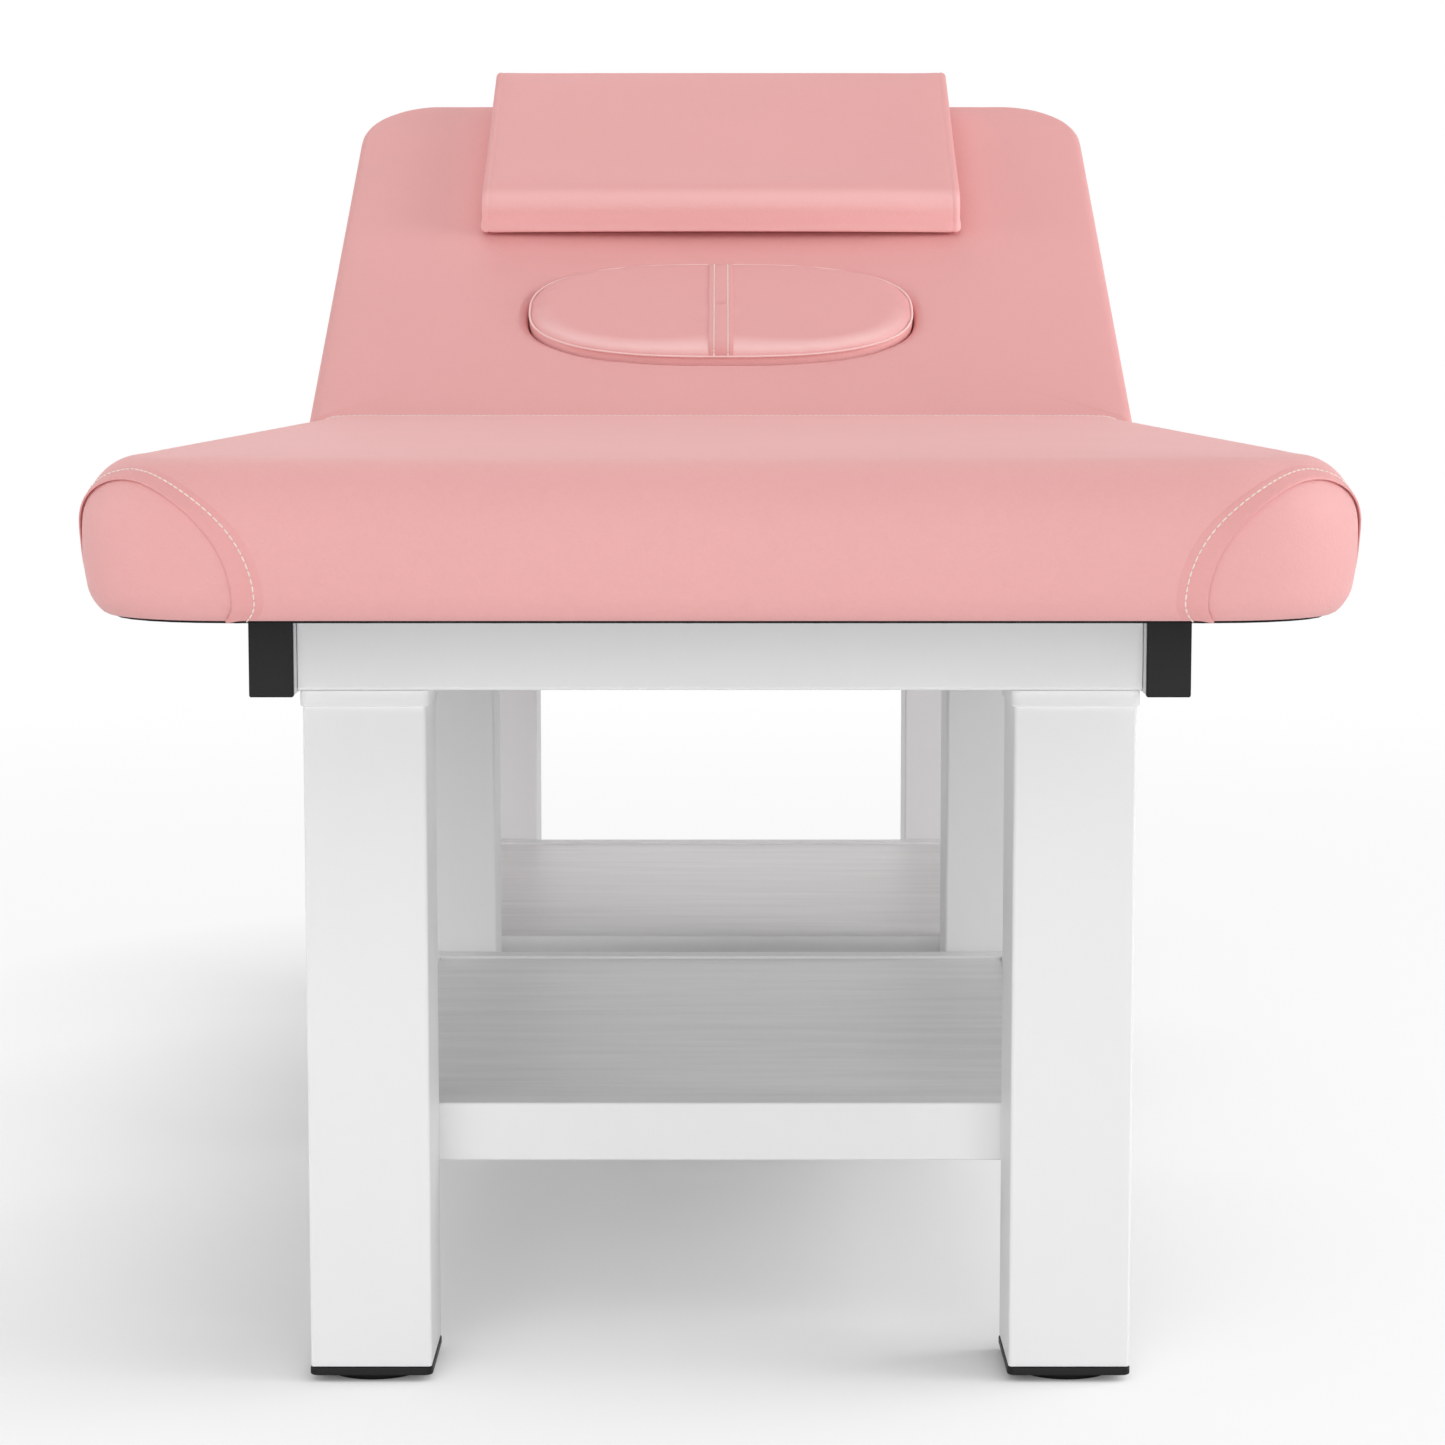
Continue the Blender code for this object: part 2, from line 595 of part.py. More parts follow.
def add_backrest(pivot, materials):
    low = BOARD_INSET
    high = BACK_LENGTH - BOARD_INSET
    corner = BACK_CORNER_RADIUS - BOARD_INSET
    place = (0, 0, HINGE_DROP)
    outline = board_outline(low, high, SQUARE_CORNER_RADIUS, corner, 0)
    board = add_board("backrest_board", outline, pivot, place, materials["board"])
    recess = board_outline(low, high, SQUARE_CORNER_RADIUS, corner, TOUCH_GAP)

    def back_far(height):
        return BACK_LENGTH - full_inset(height, BACK_TOP_RADIUS, BACK_TOP_RADIUS)

    rings = cushion_rings(
        back_near, back_far, SQUARE_CORNER_RADIUS, BACK_CORNER_RADIUS, BACK_TOP_RADIUS, BACK_TOP_RADIUS, recess)
    mesh = loft("backrest_cushion", rings, materials["cushion"], smooth_angle=math.radians(50))
    cushion = add_object("backrest_cushion", mesh, pivot, place)

    # The hole narrows at the board, which leaves a ledge for the plug
    hole_top = CUSHION_TOP + CUT_OVERRUN
    flare_start = CUSHION_TOP - FACE_FLARE
    straight = oval(PLUG_HALF_LENGTH + FACE_GROOVE, PLUG_HALF_WIDTH + FACE_GROOVE, FACE_STEPS)
    wide = oval(
        PLUG_HALF_LENGTH + FACE_GROOVE + FACE_FLARE, PLUG_HALF_WIDTH + FACE_GROOVE + FACE_FLARE, FACE_STEPS)
    hole_rings = [
        lay(straight, BOARD_THICKNESS - CUT_OVERRUN),
        lay(straight, flare_start),
        lay(wide, CUSHION_TOP),
        lay(wide, hole_top),
    ]
    hole_mesh = loft("face_hole_cut", hole_rings, materials["cushion"])
    add_cutter("face_hole_cut", hole_mesh, pivot, cushion, location=(0, FACE_PLACE, HINGE_DROP))
    through = oval(PLUG_HALF_LENGTH - FACE_LEDGE, PLUG_HALF_WIDTH - FACE_LEDGE, FACE_STEPS)
    through_rings = [lay(through, -CUT_OVERRUN), lay(through, BOARD_THICKNESS + CUT_OVERRUN)]
    through_mesh = loft("board_hole_cut", through_rings, materials["board"])
    add_cutter("board_hole_cut", through_mesh, pivot, board, location=(0, FACE_PLACE, HINGE_DROP))


# Plug of the face hole, built up of slices across the bed

def plug_stations():
    """Places of the slices, with the depth of the sewn channels there."""
    ends = [PLUG_HALF_LENGTH * share for share in PLUG_END_SHARES]
    channel = [
        SEAM_HALF_PITCH + SEAM_HALF_WIDTH,
        SEAM_HALF_PITCH,
        SEAM_HALF_PITCH - SEAM_HALF_WIDTH,
    ]
    half = [(place, 0.0) for place in ends]
    half += [(channel[0], 0.0), (channel[1], SEAM_DEPTH), (channel[2], 0.0)]
    return [(-place, depth) for place, depth in half] + [(place, depth) for place, depth in reversed(half)]


def plug_section(place, channel_depth, bottom, top):
    """Slice of the plug: a slab with rounded top edges and a low dome."""
    share = min(1.0, abs(place) / PLUG_HALF_LENGTH)
    half = PLUG_HALF_WIDTH * (1 - share ** OVAL_POWER) ** (1 / OVAL_POWER)
    radius = min(PLUG_EDGE_RADIUS, half / 2)
    domed = PLUG_DOME * (1 - share ** 2) - channel_depth
    edge_top = top - PLUG_EDGE_RADIUS * (1 - min(1.0, half / PLUG_HALF_WIDTH * 2))
    points = [(-half, bottom), (half, bottom)]
    for step in range(PLUG_SECTION_STEPS):
        angle = math.pi / 2 * step / (PLUG_SECTION_STEPS - 1)
        points.append((half - radius * (1 - math.cos(angle)), edge_top - radius * (1 - math.sin(angle))))
    flat = half - radius
    for across in (0.5, 0.0, -0.5):
        points.append((across * flat, edge_top + domed * (1 - across ** 2)))
    for step in range(PLUG_SECTION_STEPS):
        angle = math.pi / 2 * (1 - step / (PLUG_SECTION_STEPS - 1))
        points.append((radius * (1 - math.cos(angle)) - half, edge_top - radius * (1 - math.sin(angle))))
    return points


def add_face_plug(pivot, materials):
    bottom = BOARD_THICKNESS + TOUCH_GAP
    top = CUSHION_TOP + PLUG_RISE
    rings = [lay(plug_section(place, depth, bottom, top), place, "X") for place, depth in plug_stations()]
    mesh = loft("face_plug", rings, materials["face_plug"], smooth_angle=math.radians(50))
    add_object("face_plug", mesh, pivot, (0, FACE_PLACE, HINGE_DROP))


# Loose pillow: a slab with crisp edges, but for the round upper one towards the seat

def pillow_section(inset):
    half_depth = PILLOW_DEPTH / 2 - inset
    half_height = PILLOW_THICKNESS / 2 - inset
    points = []
    for side, level, radius, start in (
        (-1, -1, PILLOW_EDGE_RADIUS, math.pi),
        (1, -1, PILLOW_EDGE_RADIUS, -math.pi / 2),
        (1, 1, PILLOW_EDGE_RADIUS, 0.0),
        (-1, 1, PILLOW_NEAR_RADIUS, math.pi / 2),
    ):
        left = max(radius - inset, PILLOW_LEAST_RADIUS)
        for step in range(PILLOW_ROUND_STEPS + 1):
            angle = start + math.pi / 2 * step / PILLOW_ROUND_STEPS
            across = side * (half_depth - left) + left * math.cos(angle)
            points.append((across, level * (half_height - left) + left * math.sin(angle)))
    return points


def add_pillow(pivot, materials):
    rings = []
    stations = []
    for step in range(PILLOW_END_STEPS + 1):
        angle = math.pi / 2 * step / PILLOW_END_STEPS
        inset = PILLOW_END_RADIUS * (1 - math.sin(angle))
        stations.append((PILLOW_LENGTH / 2 - PILLOW_END_RADIUS * (1 - math.cos(angle)), inset))
    for place, inset in stations:
        rings.append(lay(pillow_section(inset), -place, "X"))
    for place, inset in reversed(stations):
        rings.append(lay(pillow_section(inset), place, "X"))
    mesh = loft("pillow", rings, materials["pillow"], smooth_angle=math.radians(50))
    height = BACK_SURFACE + TOUCH_GAP + PILLOW_THICKNESS / 2
    add_object("pillow", mesh, pivot, (0, PILLOW_PLACE, height))


# Ratchet hinges. Outlines lie in the lengthwise plane, with the axis at their origin

def lug_arc(start, stop):
    points = []
    for step in range(LUG_STEPS + 1):
        angle = start + (stop - start) * step / LUG_STEPS
        points.append((HINGE_LUG_RADIUS * math.cos(angle), HINGE_LUG_RADIUS * math.sin(angle)))
    return points


def plate(name, outline, low, high, material):
    return loft(name, [lay(outline, low, "X"), lay(outline, high, "X")], material)


def add_hinges(datum, pivot, materials):
    steel = materials["hinge"]
    base_high = RAIL_INNER_HALF - TOUCH_GAP
    base_low = base_high - HINGE_PLATE
    arm_high = base_low - TOUCH_GAP
    arm_low = arm_high - HINGE_PLATE
    head_high = arm_low - TOUCH_GAP
    arm_top = HINGE_DROP - TOUCH_GAP
    flange_end = arm_low - HINGE_FLANGE_WIDTH

    base_outline = lug_arc(0, math.pi) + [
        (-HINGE_LUG_RADIUS, -HINGE_BASE_TOP_DROP),
        (-HINGE_BASE_REACH, -HINGE_BASE_TOP_DROP),
        (-HINGE_BASE_REACH, -HINGE_BASE_DROP),
        (HINGE_BASE_REACH, -HINGE_BASE_DROP),
        (HINGE_BASE_REACH, -HINGE_BASE_TOP_DROP),
        (HINGE_LUG_RADIUS, -HINGE_BASE_TOP_DROP),
    ]
    arm_outline = lug_arc(math.asin(arm_top / HINGE_LUG_RADIUS), math.pi * 3 / 2) + [
        (HINGE_FLANGE_START, -HINGE_ARM_DEPTH),
        (HINGE_ARM_LENGTH - HINGE_ARM_DEPTH, -HINGE_ARM_DEPTH),
        (HINGE_ARM_LENGTH, -HINGE_ARM_DEPTH / 2),
        (HINGE_ARM_LENGTH, arm_top),
        (HINGE_FLANGE_START, arm_top),
    ]
    flange_outline = [
        (HINGE_FLANGE_START, arm_top - HINGE_PLATE),
        (HINGE_ARM_LENGTH, arm_top - HINGE_PLATE),
        (HINGE_ARM_LENGTH, arm_top),
        (HINGE_FLANGE_START, arm_top),
    ]
    hole = circle(PIN_RADIUS + TOUCH_GAP, ROUND_STEPS)
    head = circle(PIN_HEAD_RADIUS, ROUND_STEPS)
    shank = circle(PIN_RADIUS, ROUND_STEPS)
    axis = (0, HINGE_Y, HINGE_Z)
    for side_name, side in SIDES.items():
        base_mesh = plate("hinge_base", base_outline, side * base_low, side * base_high, steel)
        base = add_object(f"hinge_base_{side_name}", base_mesh, datum, axis)
        arm_mesh = plate("hinge_arm", arm_outline, side * arm_low, side * arm_high, steel)
        arm = add_object(f"hinge_arm_{side_name}", arm_mesh, pivot)
        flange_mesh = plate(
            "hinge_flange", flange_outline, side * flange_end, side * (arm_low + HINGE_PLATE / 2), steel)
        add_cutter(f"hinge_flange_{side_name}", flange_mesh, pivot, arm, "UNION")
        hole_ends = sorted((side * (head_high - CUT_OVERRUN), side * (base_high + CUT_OVERRUN)))
        hole_mesh = plate("pin_hole", hole, hole_ends[0], hole_ends[1], steel)
        add_cutter(f"base_hole_{side_name}", hole_mesh, datum, base, location=axis)
        add_cutter(f"arm_hole_{side_name}", hole_mesh, pivot, arm)
        pin_rings = [
            lay(head, side * (head_high - PIN_HEAD), "X"),
            lay(head, side * head_high, "X"),
            lay(shank, side * head_high, "X"),
            lay(shank, side * base_high, "X"),
        ]
        pin_mesh = loft("hinge_pin", pin_rings, steel)
        add_object(f"hinge_pin_{side_name}", pin_mesh, datum, axis)


def build_bed():
    clear_scene()
    materials = make_materials()
    datum = add_empty("front_leg_line", None, (0, -LENGTH_CENTRE, 0))
    pivot = add_empty("backrest_pivot", datum, (0, HINGE_Y, HINGE_Z))
    pivot.rotation_euler.x = BACK_TILT
    add_legs(datum, materials)
    add_collars(datum, materials)
    add_foot_plugs(datum, materials)
    add_glides(datum, materials)
    add_side_rails(datum, materials)
    add_crossbeams(datum, materials)
    add_shelves(datum, materials)
    add_seat(datum, materials)
    add_backrest(pivot, materials)
    add_face_plug(pivot, materials)
    add_pillow(pivot, materials)
    add_hinges(datum, pivot, materials)


build_bed()
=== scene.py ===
# Lash bed with a tilting backrest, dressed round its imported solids

from math import atan2, cos, hypot, pi, radians, sin, sqrt

import bmesh
import bpy
from mathutils import Matrix, Vector
from mathutils.bvhtree import BVHTree


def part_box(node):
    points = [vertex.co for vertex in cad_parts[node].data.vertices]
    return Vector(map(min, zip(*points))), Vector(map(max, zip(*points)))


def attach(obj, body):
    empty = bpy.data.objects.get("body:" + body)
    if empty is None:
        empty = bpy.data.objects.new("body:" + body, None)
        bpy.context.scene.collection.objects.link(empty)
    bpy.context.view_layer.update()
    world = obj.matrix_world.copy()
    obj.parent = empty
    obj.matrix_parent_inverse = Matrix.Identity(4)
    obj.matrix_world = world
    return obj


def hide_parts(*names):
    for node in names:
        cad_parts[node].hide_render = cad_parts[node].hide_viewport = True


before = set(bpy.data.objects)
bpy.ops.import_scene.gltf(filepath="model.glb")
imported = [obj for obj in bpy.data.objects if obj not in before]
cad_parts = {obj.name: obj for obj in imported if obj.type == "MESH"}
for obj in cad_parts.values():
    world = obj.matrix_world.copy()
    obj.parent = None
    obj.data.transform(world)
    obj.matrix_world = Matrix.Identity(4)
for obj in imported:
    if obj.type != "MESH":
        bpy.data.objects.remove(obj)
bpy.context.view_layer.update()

sides = {"left": -1, "right": 1}
legSpots = [f"{row}_{side}" for row in ("front", "middle", "rear") for side in sides]


# Camera, lamps and floor

cameraSettings = {
    "place": (0.0014, -2.7086, 0.5981),
    "tiltDown": 6.0995,  # degrees below level
    "lens": 88.04, "sensor": 36.0, "farthest": 100.0,
}
lampSettings = {
    "worldColour": (1.0, 1.0, 1.0), "worldStrength": 0.26,
    # place, point aimed at, width, height, watts
    "lamps": {
        "key_softbox": ((-1.3, -2.6, 2.9), (0.0, -0.2, 0.5), 2.4, 2.0, 18.0),
        "front_softbox": ((0.0, -4.2, 1.0), (0.0, 0.0, 0.4), 3.0, 1.5, 29.5),
        "low_strip": ((0.1, -3.6, 0.32), (0.0, 0.0, 0.25), 2.0, 0.5, 15.0),
        "left_softbox": ((-3.2, -0.4, 1.5), (0.0, 0.0, 0.3), 2.4, 2.0, 27.0),
        "right_softbox": ((3.2, -0.4, 1.5), (0.0, 0.0, 0.3), 2.4, 2.0, 66.0),
        "rear_softbox": ((-0.9, 2.7, 3.5), (0.0, 0.3, 0.4), 2.4, 1.6, 16.0),
        "top_softbox": ((0.0, 0.2, 3.4), (0.0, 0.0, 0.5), 2.6, 2.4, 21.0),
    },
}
floorSettings = {
    "halfSize": 14.0, "colour": (0.90, 0.90, 0.905),
    "glow": 0.86,  # share of plain white that the camera sees near the bed
    "fadeStart": 1.0, "fadeEnd": 3.5,  # metres from the bed's middle
    "shadeReach": 0.48,  # painted shadow: how far from the bed occlusion takes the white glow away, so the lit floor's shade shows
    "shadeLean": (0.74, -0.60, 0.30),  # occlusion leans towards the stronger light, so the painted shadow falls to the bed's left
    "shadeDepth": 3.5, "shadeSamples": 8,
}


def place(tree, kind, inputs=None, **settings):
    item = tree.nodes.new(kind)
    for key, value in settings.items():
        setattr(item, key, value)
    for key, value in (inputs or {}).items():
        if isinstance(value, bpy.types.NodeSocket):
            tree.links.new(value, item.inputs[key])
        else:
            item.inputs[key].default_value = value
    return item


def compute(tree, operation, first, second):
    return place(tree, "ShaderNodeMath", {0: first, 1: second}, operation=operation).outputs[0]


def emptyTree(owner):
    owner.use_nodes = True
    owner.node_tree.nodes.clear()
    return owner.node_tree


def mixShaders(tree, amount, first, second, target):
    mix = place(tree, "ShaderNodeMixShader", {0: amount, 1: first.outputs[0], 2: second.outputs[0]})
    place(tree, target, {"Surface": mix.outputs[0]})


def addObject(name, data):
    item = bpy.data.objects.new(name, data)
    bpy.context.scene.collection.objects.link(item)
    return item


def addCamera(settings):
    data = bpy.data.cameras.new("camera")
    data.lens, data.sensor_width, data.clip_end = settings["lens"], settings["sensor"], settings["farthest"]
    camera = addObject("camera", data)
    camera.location = settings["place"]
    camera.rotation_euler = (radians(90 - settings["tiltDown"]), 0, 0)
    bpy.context.scene.camera = camera


def addLamps(settings):
    for name, (spot, aim, width, height, watts) in settings["lamps"].items():
        data = bpy.data.lights.new(name, "AREA")
        data.shape, data.size, data.size_y, data.energy = "RECTANGLE", width, height, watts
        lamp = addObject(name, data)
        lamp.location = spot
        lamp.rotation_euler = (Vector(aim) - Vector(spot)).to_track_quat("-Z", "Y").to_euler()
    world = bpy.data.worlds.new("studio")
    bpy.context.scene.world = world
    tree = emptyTree(world)
    path = place(tree, "ShaderNodeLightPath").outputs
    seen = compute(tree, "MAXIMUM", path["Is Camera Ray"], path["Is Transmission Ray"])
    seen = compute(tree, "MAXIMUM", seen, path["Is Glossy Ray"])
    light = place(tree, "ShaderNodeBackground", {
        "Color": (*settings["worldColour"], 1), "Strength": settings["worldStrength"]})
    white = place(tree, "ShaderNodeBackground", {"Color": (1, 1, 1, 1), "Strength": 1.0})
    mixShaders(tree, seen, light, white, "ShaderNodeOutputWorld")


def addFloor(settings):
    half = settings["halfSize"]
    mesh = bpy.data.meshes.new("floor")
    mesh.from_pydata([(-half, -half, 0), (half, -half, 0), (half, half, 0), (-half, half, 0)], [], [(0, 1, 2, 3)])
    floor = addObject("floor", mesh)
    material = bpy.data.materials.new("pale_floor")
    tree = emptyTree(material)
    spot = place(tree, "ShaderNodeTexCoord").outputs["Object"]
    distance = place(tree, "ShaderNodeVectorMath", {0: spot}, operation="LENGTH")
    fade = place(tree, "ShaderNodeMapRange", {
        "Value": distance.outputs["Value"], "From Min": settings["fadeStart"], "From Max": settings["fadeEnd"],
        "To Min": settings["glow"], "To Max": 1.0}, interpolation_type="SMOOTHSTEP")
    path = place(tree, "ShaderNodeLightPath").outputs
    seen = compute(tree, "MAXIMUM", path["Is Camera Ray"], path["Is Glossy Ray"])
    # painted shadow: occlusion leaning one way takes the glow away near the bed, where the plain lit floor with the
    # lamps' shadows shows
    lean = place(tree, "ShaderNodeCombineXYZ", dict(zip("XYZ", settings["shadeLean"])))
    shade = place(tree, "ShaderNodeAmbientOcclusion", {
        "Distance": settings["shadeReach"], "Normal": lean.outputs[0]}, samples=settings["shadeSamples"])
    deep = compute(tree, "POWER", shade.outputs["AO"], settings["shadeDepth"])
    amount = compute(tree, "MULTIPLY", seen, compute(tree, "MULTIPLY", fade.outputs[0], deep))
    plain = place(tree, "ShaderNodeBsdfDiffuse", {"Color": (*settings["colour"], 1)})
    white = place(tree, "ShaderNodeEmission", {"Color": (1, 1, 1, 1), "Strength": 1.0})
    mixShaders(tree, amount, plain, white, "ShaderNodeOutputMaterial")
    mesh.materials.append(material)


addCamera(cameraSettings)
addLamps(lampSettings)
addFloor(floorSettings)
bpy.context.scene.view_settings.view_transform = "Standard"
print("camera, lamps and floor made")


# Finishes. A pattern is a texture, its inputs, what it does and the node's own choices. Depth is how far it
# lifts the surface, in metres, and tone and spread are how far it moves the colour and the roughness.

def coat(colour, roughness, specular, peelScale, peelDepth):
    return {
        "colour": colour, "roughness": roughness, "specular": specular,
        "patterns": [
            ("Noise", {"Scale": peelScale, "Detail": 2.0}, {"depth": peelDepth}, {}),
            ("Noise", {"Scale": 9.0, "Detail": 4.0}, {"tone": 0.012, "spread": (-0.04, 0.06)}, {}),
        ],
    }


finishSettings = {
    "pink_leather": {
        "colour": (0.800, 0.385, 0.377), "roughness": 0.47, "specular": 0.15, "sheen": 0.03,
        "highlightTint": (0.97, 0.610, 0.600),  # painted highlight: a paler colour, mixed in where light would catch the leather
        "patterns": [
            ("Noise", {"Scale": 5.0, "Detail": 3.0}, {"tone": 0.035}, {}),
            ("Noise", {"Scale": 90.0, "Detail": 4.0, "Distortion": 0.8}, {"depth": 0.00030}, {}),
            ("Noise", {"Scale": 340.0, "Detail": 2.0, "Distortion": 1.5},
             {"depth": 0.00032, "spread": (-0.06, 0.10)}, {}),
            ("Voronoi", {"Scale": 900.0}, {"depth": -0.00010}, {"feature": "SMOOTH_F1"}),
        ],
    },
    "white_paint": coat((0.88, 0.88, 0.885), 0.42, 0.22, 420.0, 0.00002),
    "black_plastic": coat((0.007, 0.007, 0.0075), 0.50, 0.22, 900.0, 0.00006),
    "black_rubber": coat((0.004, 0.004, 0.004), 0.65, 0.15, 700.0, 0.00005),
    "shelf_metal": {
        "colour": (0.93, 0.93, 0.935), "roughness": 0.40, "metallic": 0.14, "specular": 0.15,
        "drawn": (6.0, 70.0, 70.0),
        "patterns": [
            ("Noise", {"Scale": 1.0, "Detail": 5.0, "Roughness": 0.7},
             {"depth": 0.00005, "tone": 0.26, "spread": (-0.06, 0.08)}, {}),
        ],
    },
    "dust_cover": {
        "colour": (0.012, 0.011, 0.011), "roughness": 0.9, "specular": 0.2,
        "patterns": [("Voronoi", {"Scale": 900.0}, {"depth": 0.00015, "tone": 0.3}, {})],
    },
    "hinge_zinc": {
        "colour": (0.56, 0.56, 0.57), "roughness": 0.36, "metallic": 1.0,
        "patterns": [
            ("Voronoi", {"Scale": 240.0}, {"tone": 0.08}, {}),
            ("Noise", {"Scale": 60.0, "Detail": 6.0}, {"spread": (-0.08, 0.12)}, {}),
        ],
    },
    "sewing_thread": {
        "colour": (0.96, 0.84, 0.78), "roughness": 0.6, "specular": 0.3,
        "patterns": [("Wave", {"Scale": 900.0}, {"depth": 0.0001}, {"bands_direction": "DIAGONAL"})],
    },
}
# painted highlight: the piping is a paler leather, for the bright line along the plug's rim
finishSettings["piping_painted_highlight"] = {**finishSettings["pink_leather"], "colour": (0.96, 0.68, 0.66)}


def mixColours(tree, amount, first, second):
    return place(tree, "ShaderNodeMix", {0: amount, 6: first, 7: second}, data_type="RGBA").outputs[2]


def makeFinish(name, settings):
    material = bpy.data.materials.new(name)
    material.use_nodes = True
    tree = material.node_tree
    shader = tree.nodes["Principled BSDF"].inputs
    shader["Base Color"].default_value = (*settings["colour"], 1)
    shader["Roughness"].default_value = settings["roughness"]
    shader["Metallic"].default_value = settings.get("metallic", 0.0)
    shader["Specular IOR Level"].default_value = settings.get("specular", 0.5)
    shader["Sheen Weight"].default_value = settings.get("sheen", 0.0)
    spot = place(tree, "ShaderNodeTexCoord").outputs["Object"]
    if "drawn" in settings:
        spot = place(tree, "ShaderNodeMapping", {"Vector": spot, "Scale": settings["drawn"]}).outputs[0]
    normal = None
    for kind, inputs, uses, options in settings["patterns"]:
        texture = place(tree, f"ShaderNodeTex{kind}", {"Vector": spot, **inputs}, **options)
        value = texture.outputs["Distance" if kind == "Voronoi" else "Fac"]
        if "depth" in uses:
            bump = place(tree, "ShaderNodeBump", {"Height": value, "Distance": uses["depth"], "Strength": 1.0})
            if normal is not None:
                tree.links.new(normal, bump.inputs["Normal"])
            normal = bump.outputs["Normal"]
            tree.links.new(normal, shader["Normal"])
        if "tone" in uses:
            dark, light = [
                (*(min(1.0, part * (1 + way * uses["tone"])) for part in settings["colour"]), 1) for way in (-1, 1)]
            colour = mixColours(tree, value, dark, light)
            # painted highlight: a per-point attribute mixes the paler colour into the leather
            if "highlightTint" in settings:
                painted_highlight = place(tree, "ShaderNodeAttribute", attribute_name="painted_highlight").outputs["Fac"]
                colour = mixColours(tree, painted_highlight, colour, (*settings["highlightTint"], 1))
            tree.links.new(colour, shader["Base Color"])
        if "spread" in uses:
            low, high = [settings["roughness"] + shift for shift in uses["spread"]]
            spread = place(tree, "ShaderNodeMapRange", {"Value": value, "To Min": low, "To Max": high})
            tree.links.new(spread.outputs[0], shader["Roughness"])
    return material


finishes = {name: makeFinish(name, settings) for name, settings in finishSettings.items()}
print("finishes made")


# Helpers for pieces

def between(start, end, share):
    return tuple(first + (last - first) * share for first, last in zip(start, end))


def level(spots, height):
    return [(x, y, height) for x, y in spots]


# a quarter circle in steps: the way forward and the inset that is left
def quarter(radius, steps):
    angles = [pi / 2 * step / steps for step in range(steps + 1)]
    return [(radius * (1 - cos(angle)), radius * (1 - sin(angle))) for angle in angles]


# an outline of even steps, from the low side round, with its corners' radii in the same order
def evenOutline(lowU, highU, lowV, highV, radii, across, along, cornerSteps):
    first, second, third, fourth = radii
    centres = (
        (highU - first, lowV + first), (highU - second, highV - second),
        (lowU + third, highV - third), (lowU + fourth, lowV + fourth))
    arcs = []
    for turn, ((u, v), radius) in enumerate(zip(centres, radii)):
        angles = [radians(90 * turn - 90 + 90 * step / cornerSteps) for step in range(cornerSteps + 1)]
        arcs.append([(u + radius * cos(angle), v + radius * sin(angle)) for angle in angles])
    points = []
    for index, steps in enumerate((across, along, across, along)):
        ends = arcs[index - 1][-1], arcs[index][0]
        points += [between(*ends, step / steps) for step in range(1, steps)] + arcs[index]
    return points


def joinRings(shape, row, after):
    count = len(row)
    for index in range(count):
        beside = (index + 1) % count
        shape.faces.new((row[index], row[beside], after[beside], after[index]))


# closes a ring with rings towards an inner rectangle and a regular grid inside it
def fillRing(shape, row, spots, rect, counts, steps, lift):
    across, along, corner = counts
    lowU, highU, lowV, highV = rect
    wide, long, half = across + corner, along + corner, corner // 2
    corners = [(lowU, lowV), (highU, lowV), (highU, highV), (lowU, highV)]
    inner = []
    for index, count in enumerate((wide, long, wide, long)):
        inner += [between(corners[index], corners[(index + 1) % 4], step / count) for step in range(count)]
    inner = inner[half + 1:] + inner[:half + 1]
    for step in range(1, steps + 1):
        after = [shape.verts.new(lift(*between(*pair, step / steps))) for pair in zip(spots, inner)]
        joinRings(shape, row, after)
        row = after
    ordered = row[-(half + 1):] + row[:-(half + 1)]
    edge = [(column, 0) for column in range(wide)] + [(wide, line) for line in range(long)]
    edge += [(wide - column, long) for column, line in edge[:wide]] + [(0, long - line) for line in range(long)]
    table = dict(zip(edge, ordered))
    for line in range(1, long):
        v = lowV + (highV - lowV) * line / long
        for column in range(1, wide):
            table[column, line] = shape.verts.new(lift(lowU + (highU - lowU) * column / wide, v))
    for line in range(long):
        for column in range(wide):
            square = ((column, line), (column + 1, line), (column + 1, line + 1), (column, line + 1))
            shape.faces.new([table[corner] for corner in square])


# joins rings of points; its ends are closed by one face each or by fills: the end, then what fillRing needs
def skin(name, rings, wrap=False, fills=()):
    shape = bmesh.new()
    grid = [[shape.verts.new(point) for point in ring] for ring in rings]
    for row, after in zip(grid, grid[1:] + grid[:1] if wrap else grid[1:]):
        joinRings(shape, row, after)
    for end, *filling in fills:
        fillRing(shape, grid[end], *filling)
    if not wrap and not fills:
        shape.faces.new(grid[0])
        shape.faces.new(grid[-1])
    bmesh.ops.recalc_face_normals(shape, faces=shape.faces)
    mesh = bpy.data.meshes.new(name)
    shape.to_mesh(mesh)
    shape.free()
    mesh.shade_smooth()
    return addObject(name, mesh)


def finishPiece(piece, finish, body, replaced=()):
    piece.data.materials.clear()
    piece.data.materials.append(finishes[finish])
    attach(piece, body)
    if replaced:
        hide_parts(*replaced)
    return piece


# Painted steel, caps and feet

barSettings = {
    "cornerSteps": 6, "endSteps": 3, "leastShare": 0.4,  # of the radius, at an inset end
    # radius of the long edges and of the ends
    "leg": (0.0022, 0.0005), "collar": (0.0048, 0.0012), "rail": (0.0022, 0.0005), "beam": (0.0022, 0.0005),
    "shelf": (0.0016, 0.0004), "cap": (0.0012, 0.0008), "plug": (0.0044, 0.0009),
    "capSteps": 4, "capDepth": 0.004,
}
footSettings = {
    "gap": 0.0003, "ringCount": 64, "rimSteps": 5, "rim": 0.0012, "heel": 0.0004,
    "stemRadius": 0.005, "stemRise": 0.0008, "skirts": (0.006, 0.001, 0.0), "sharpAngle": 35,
}


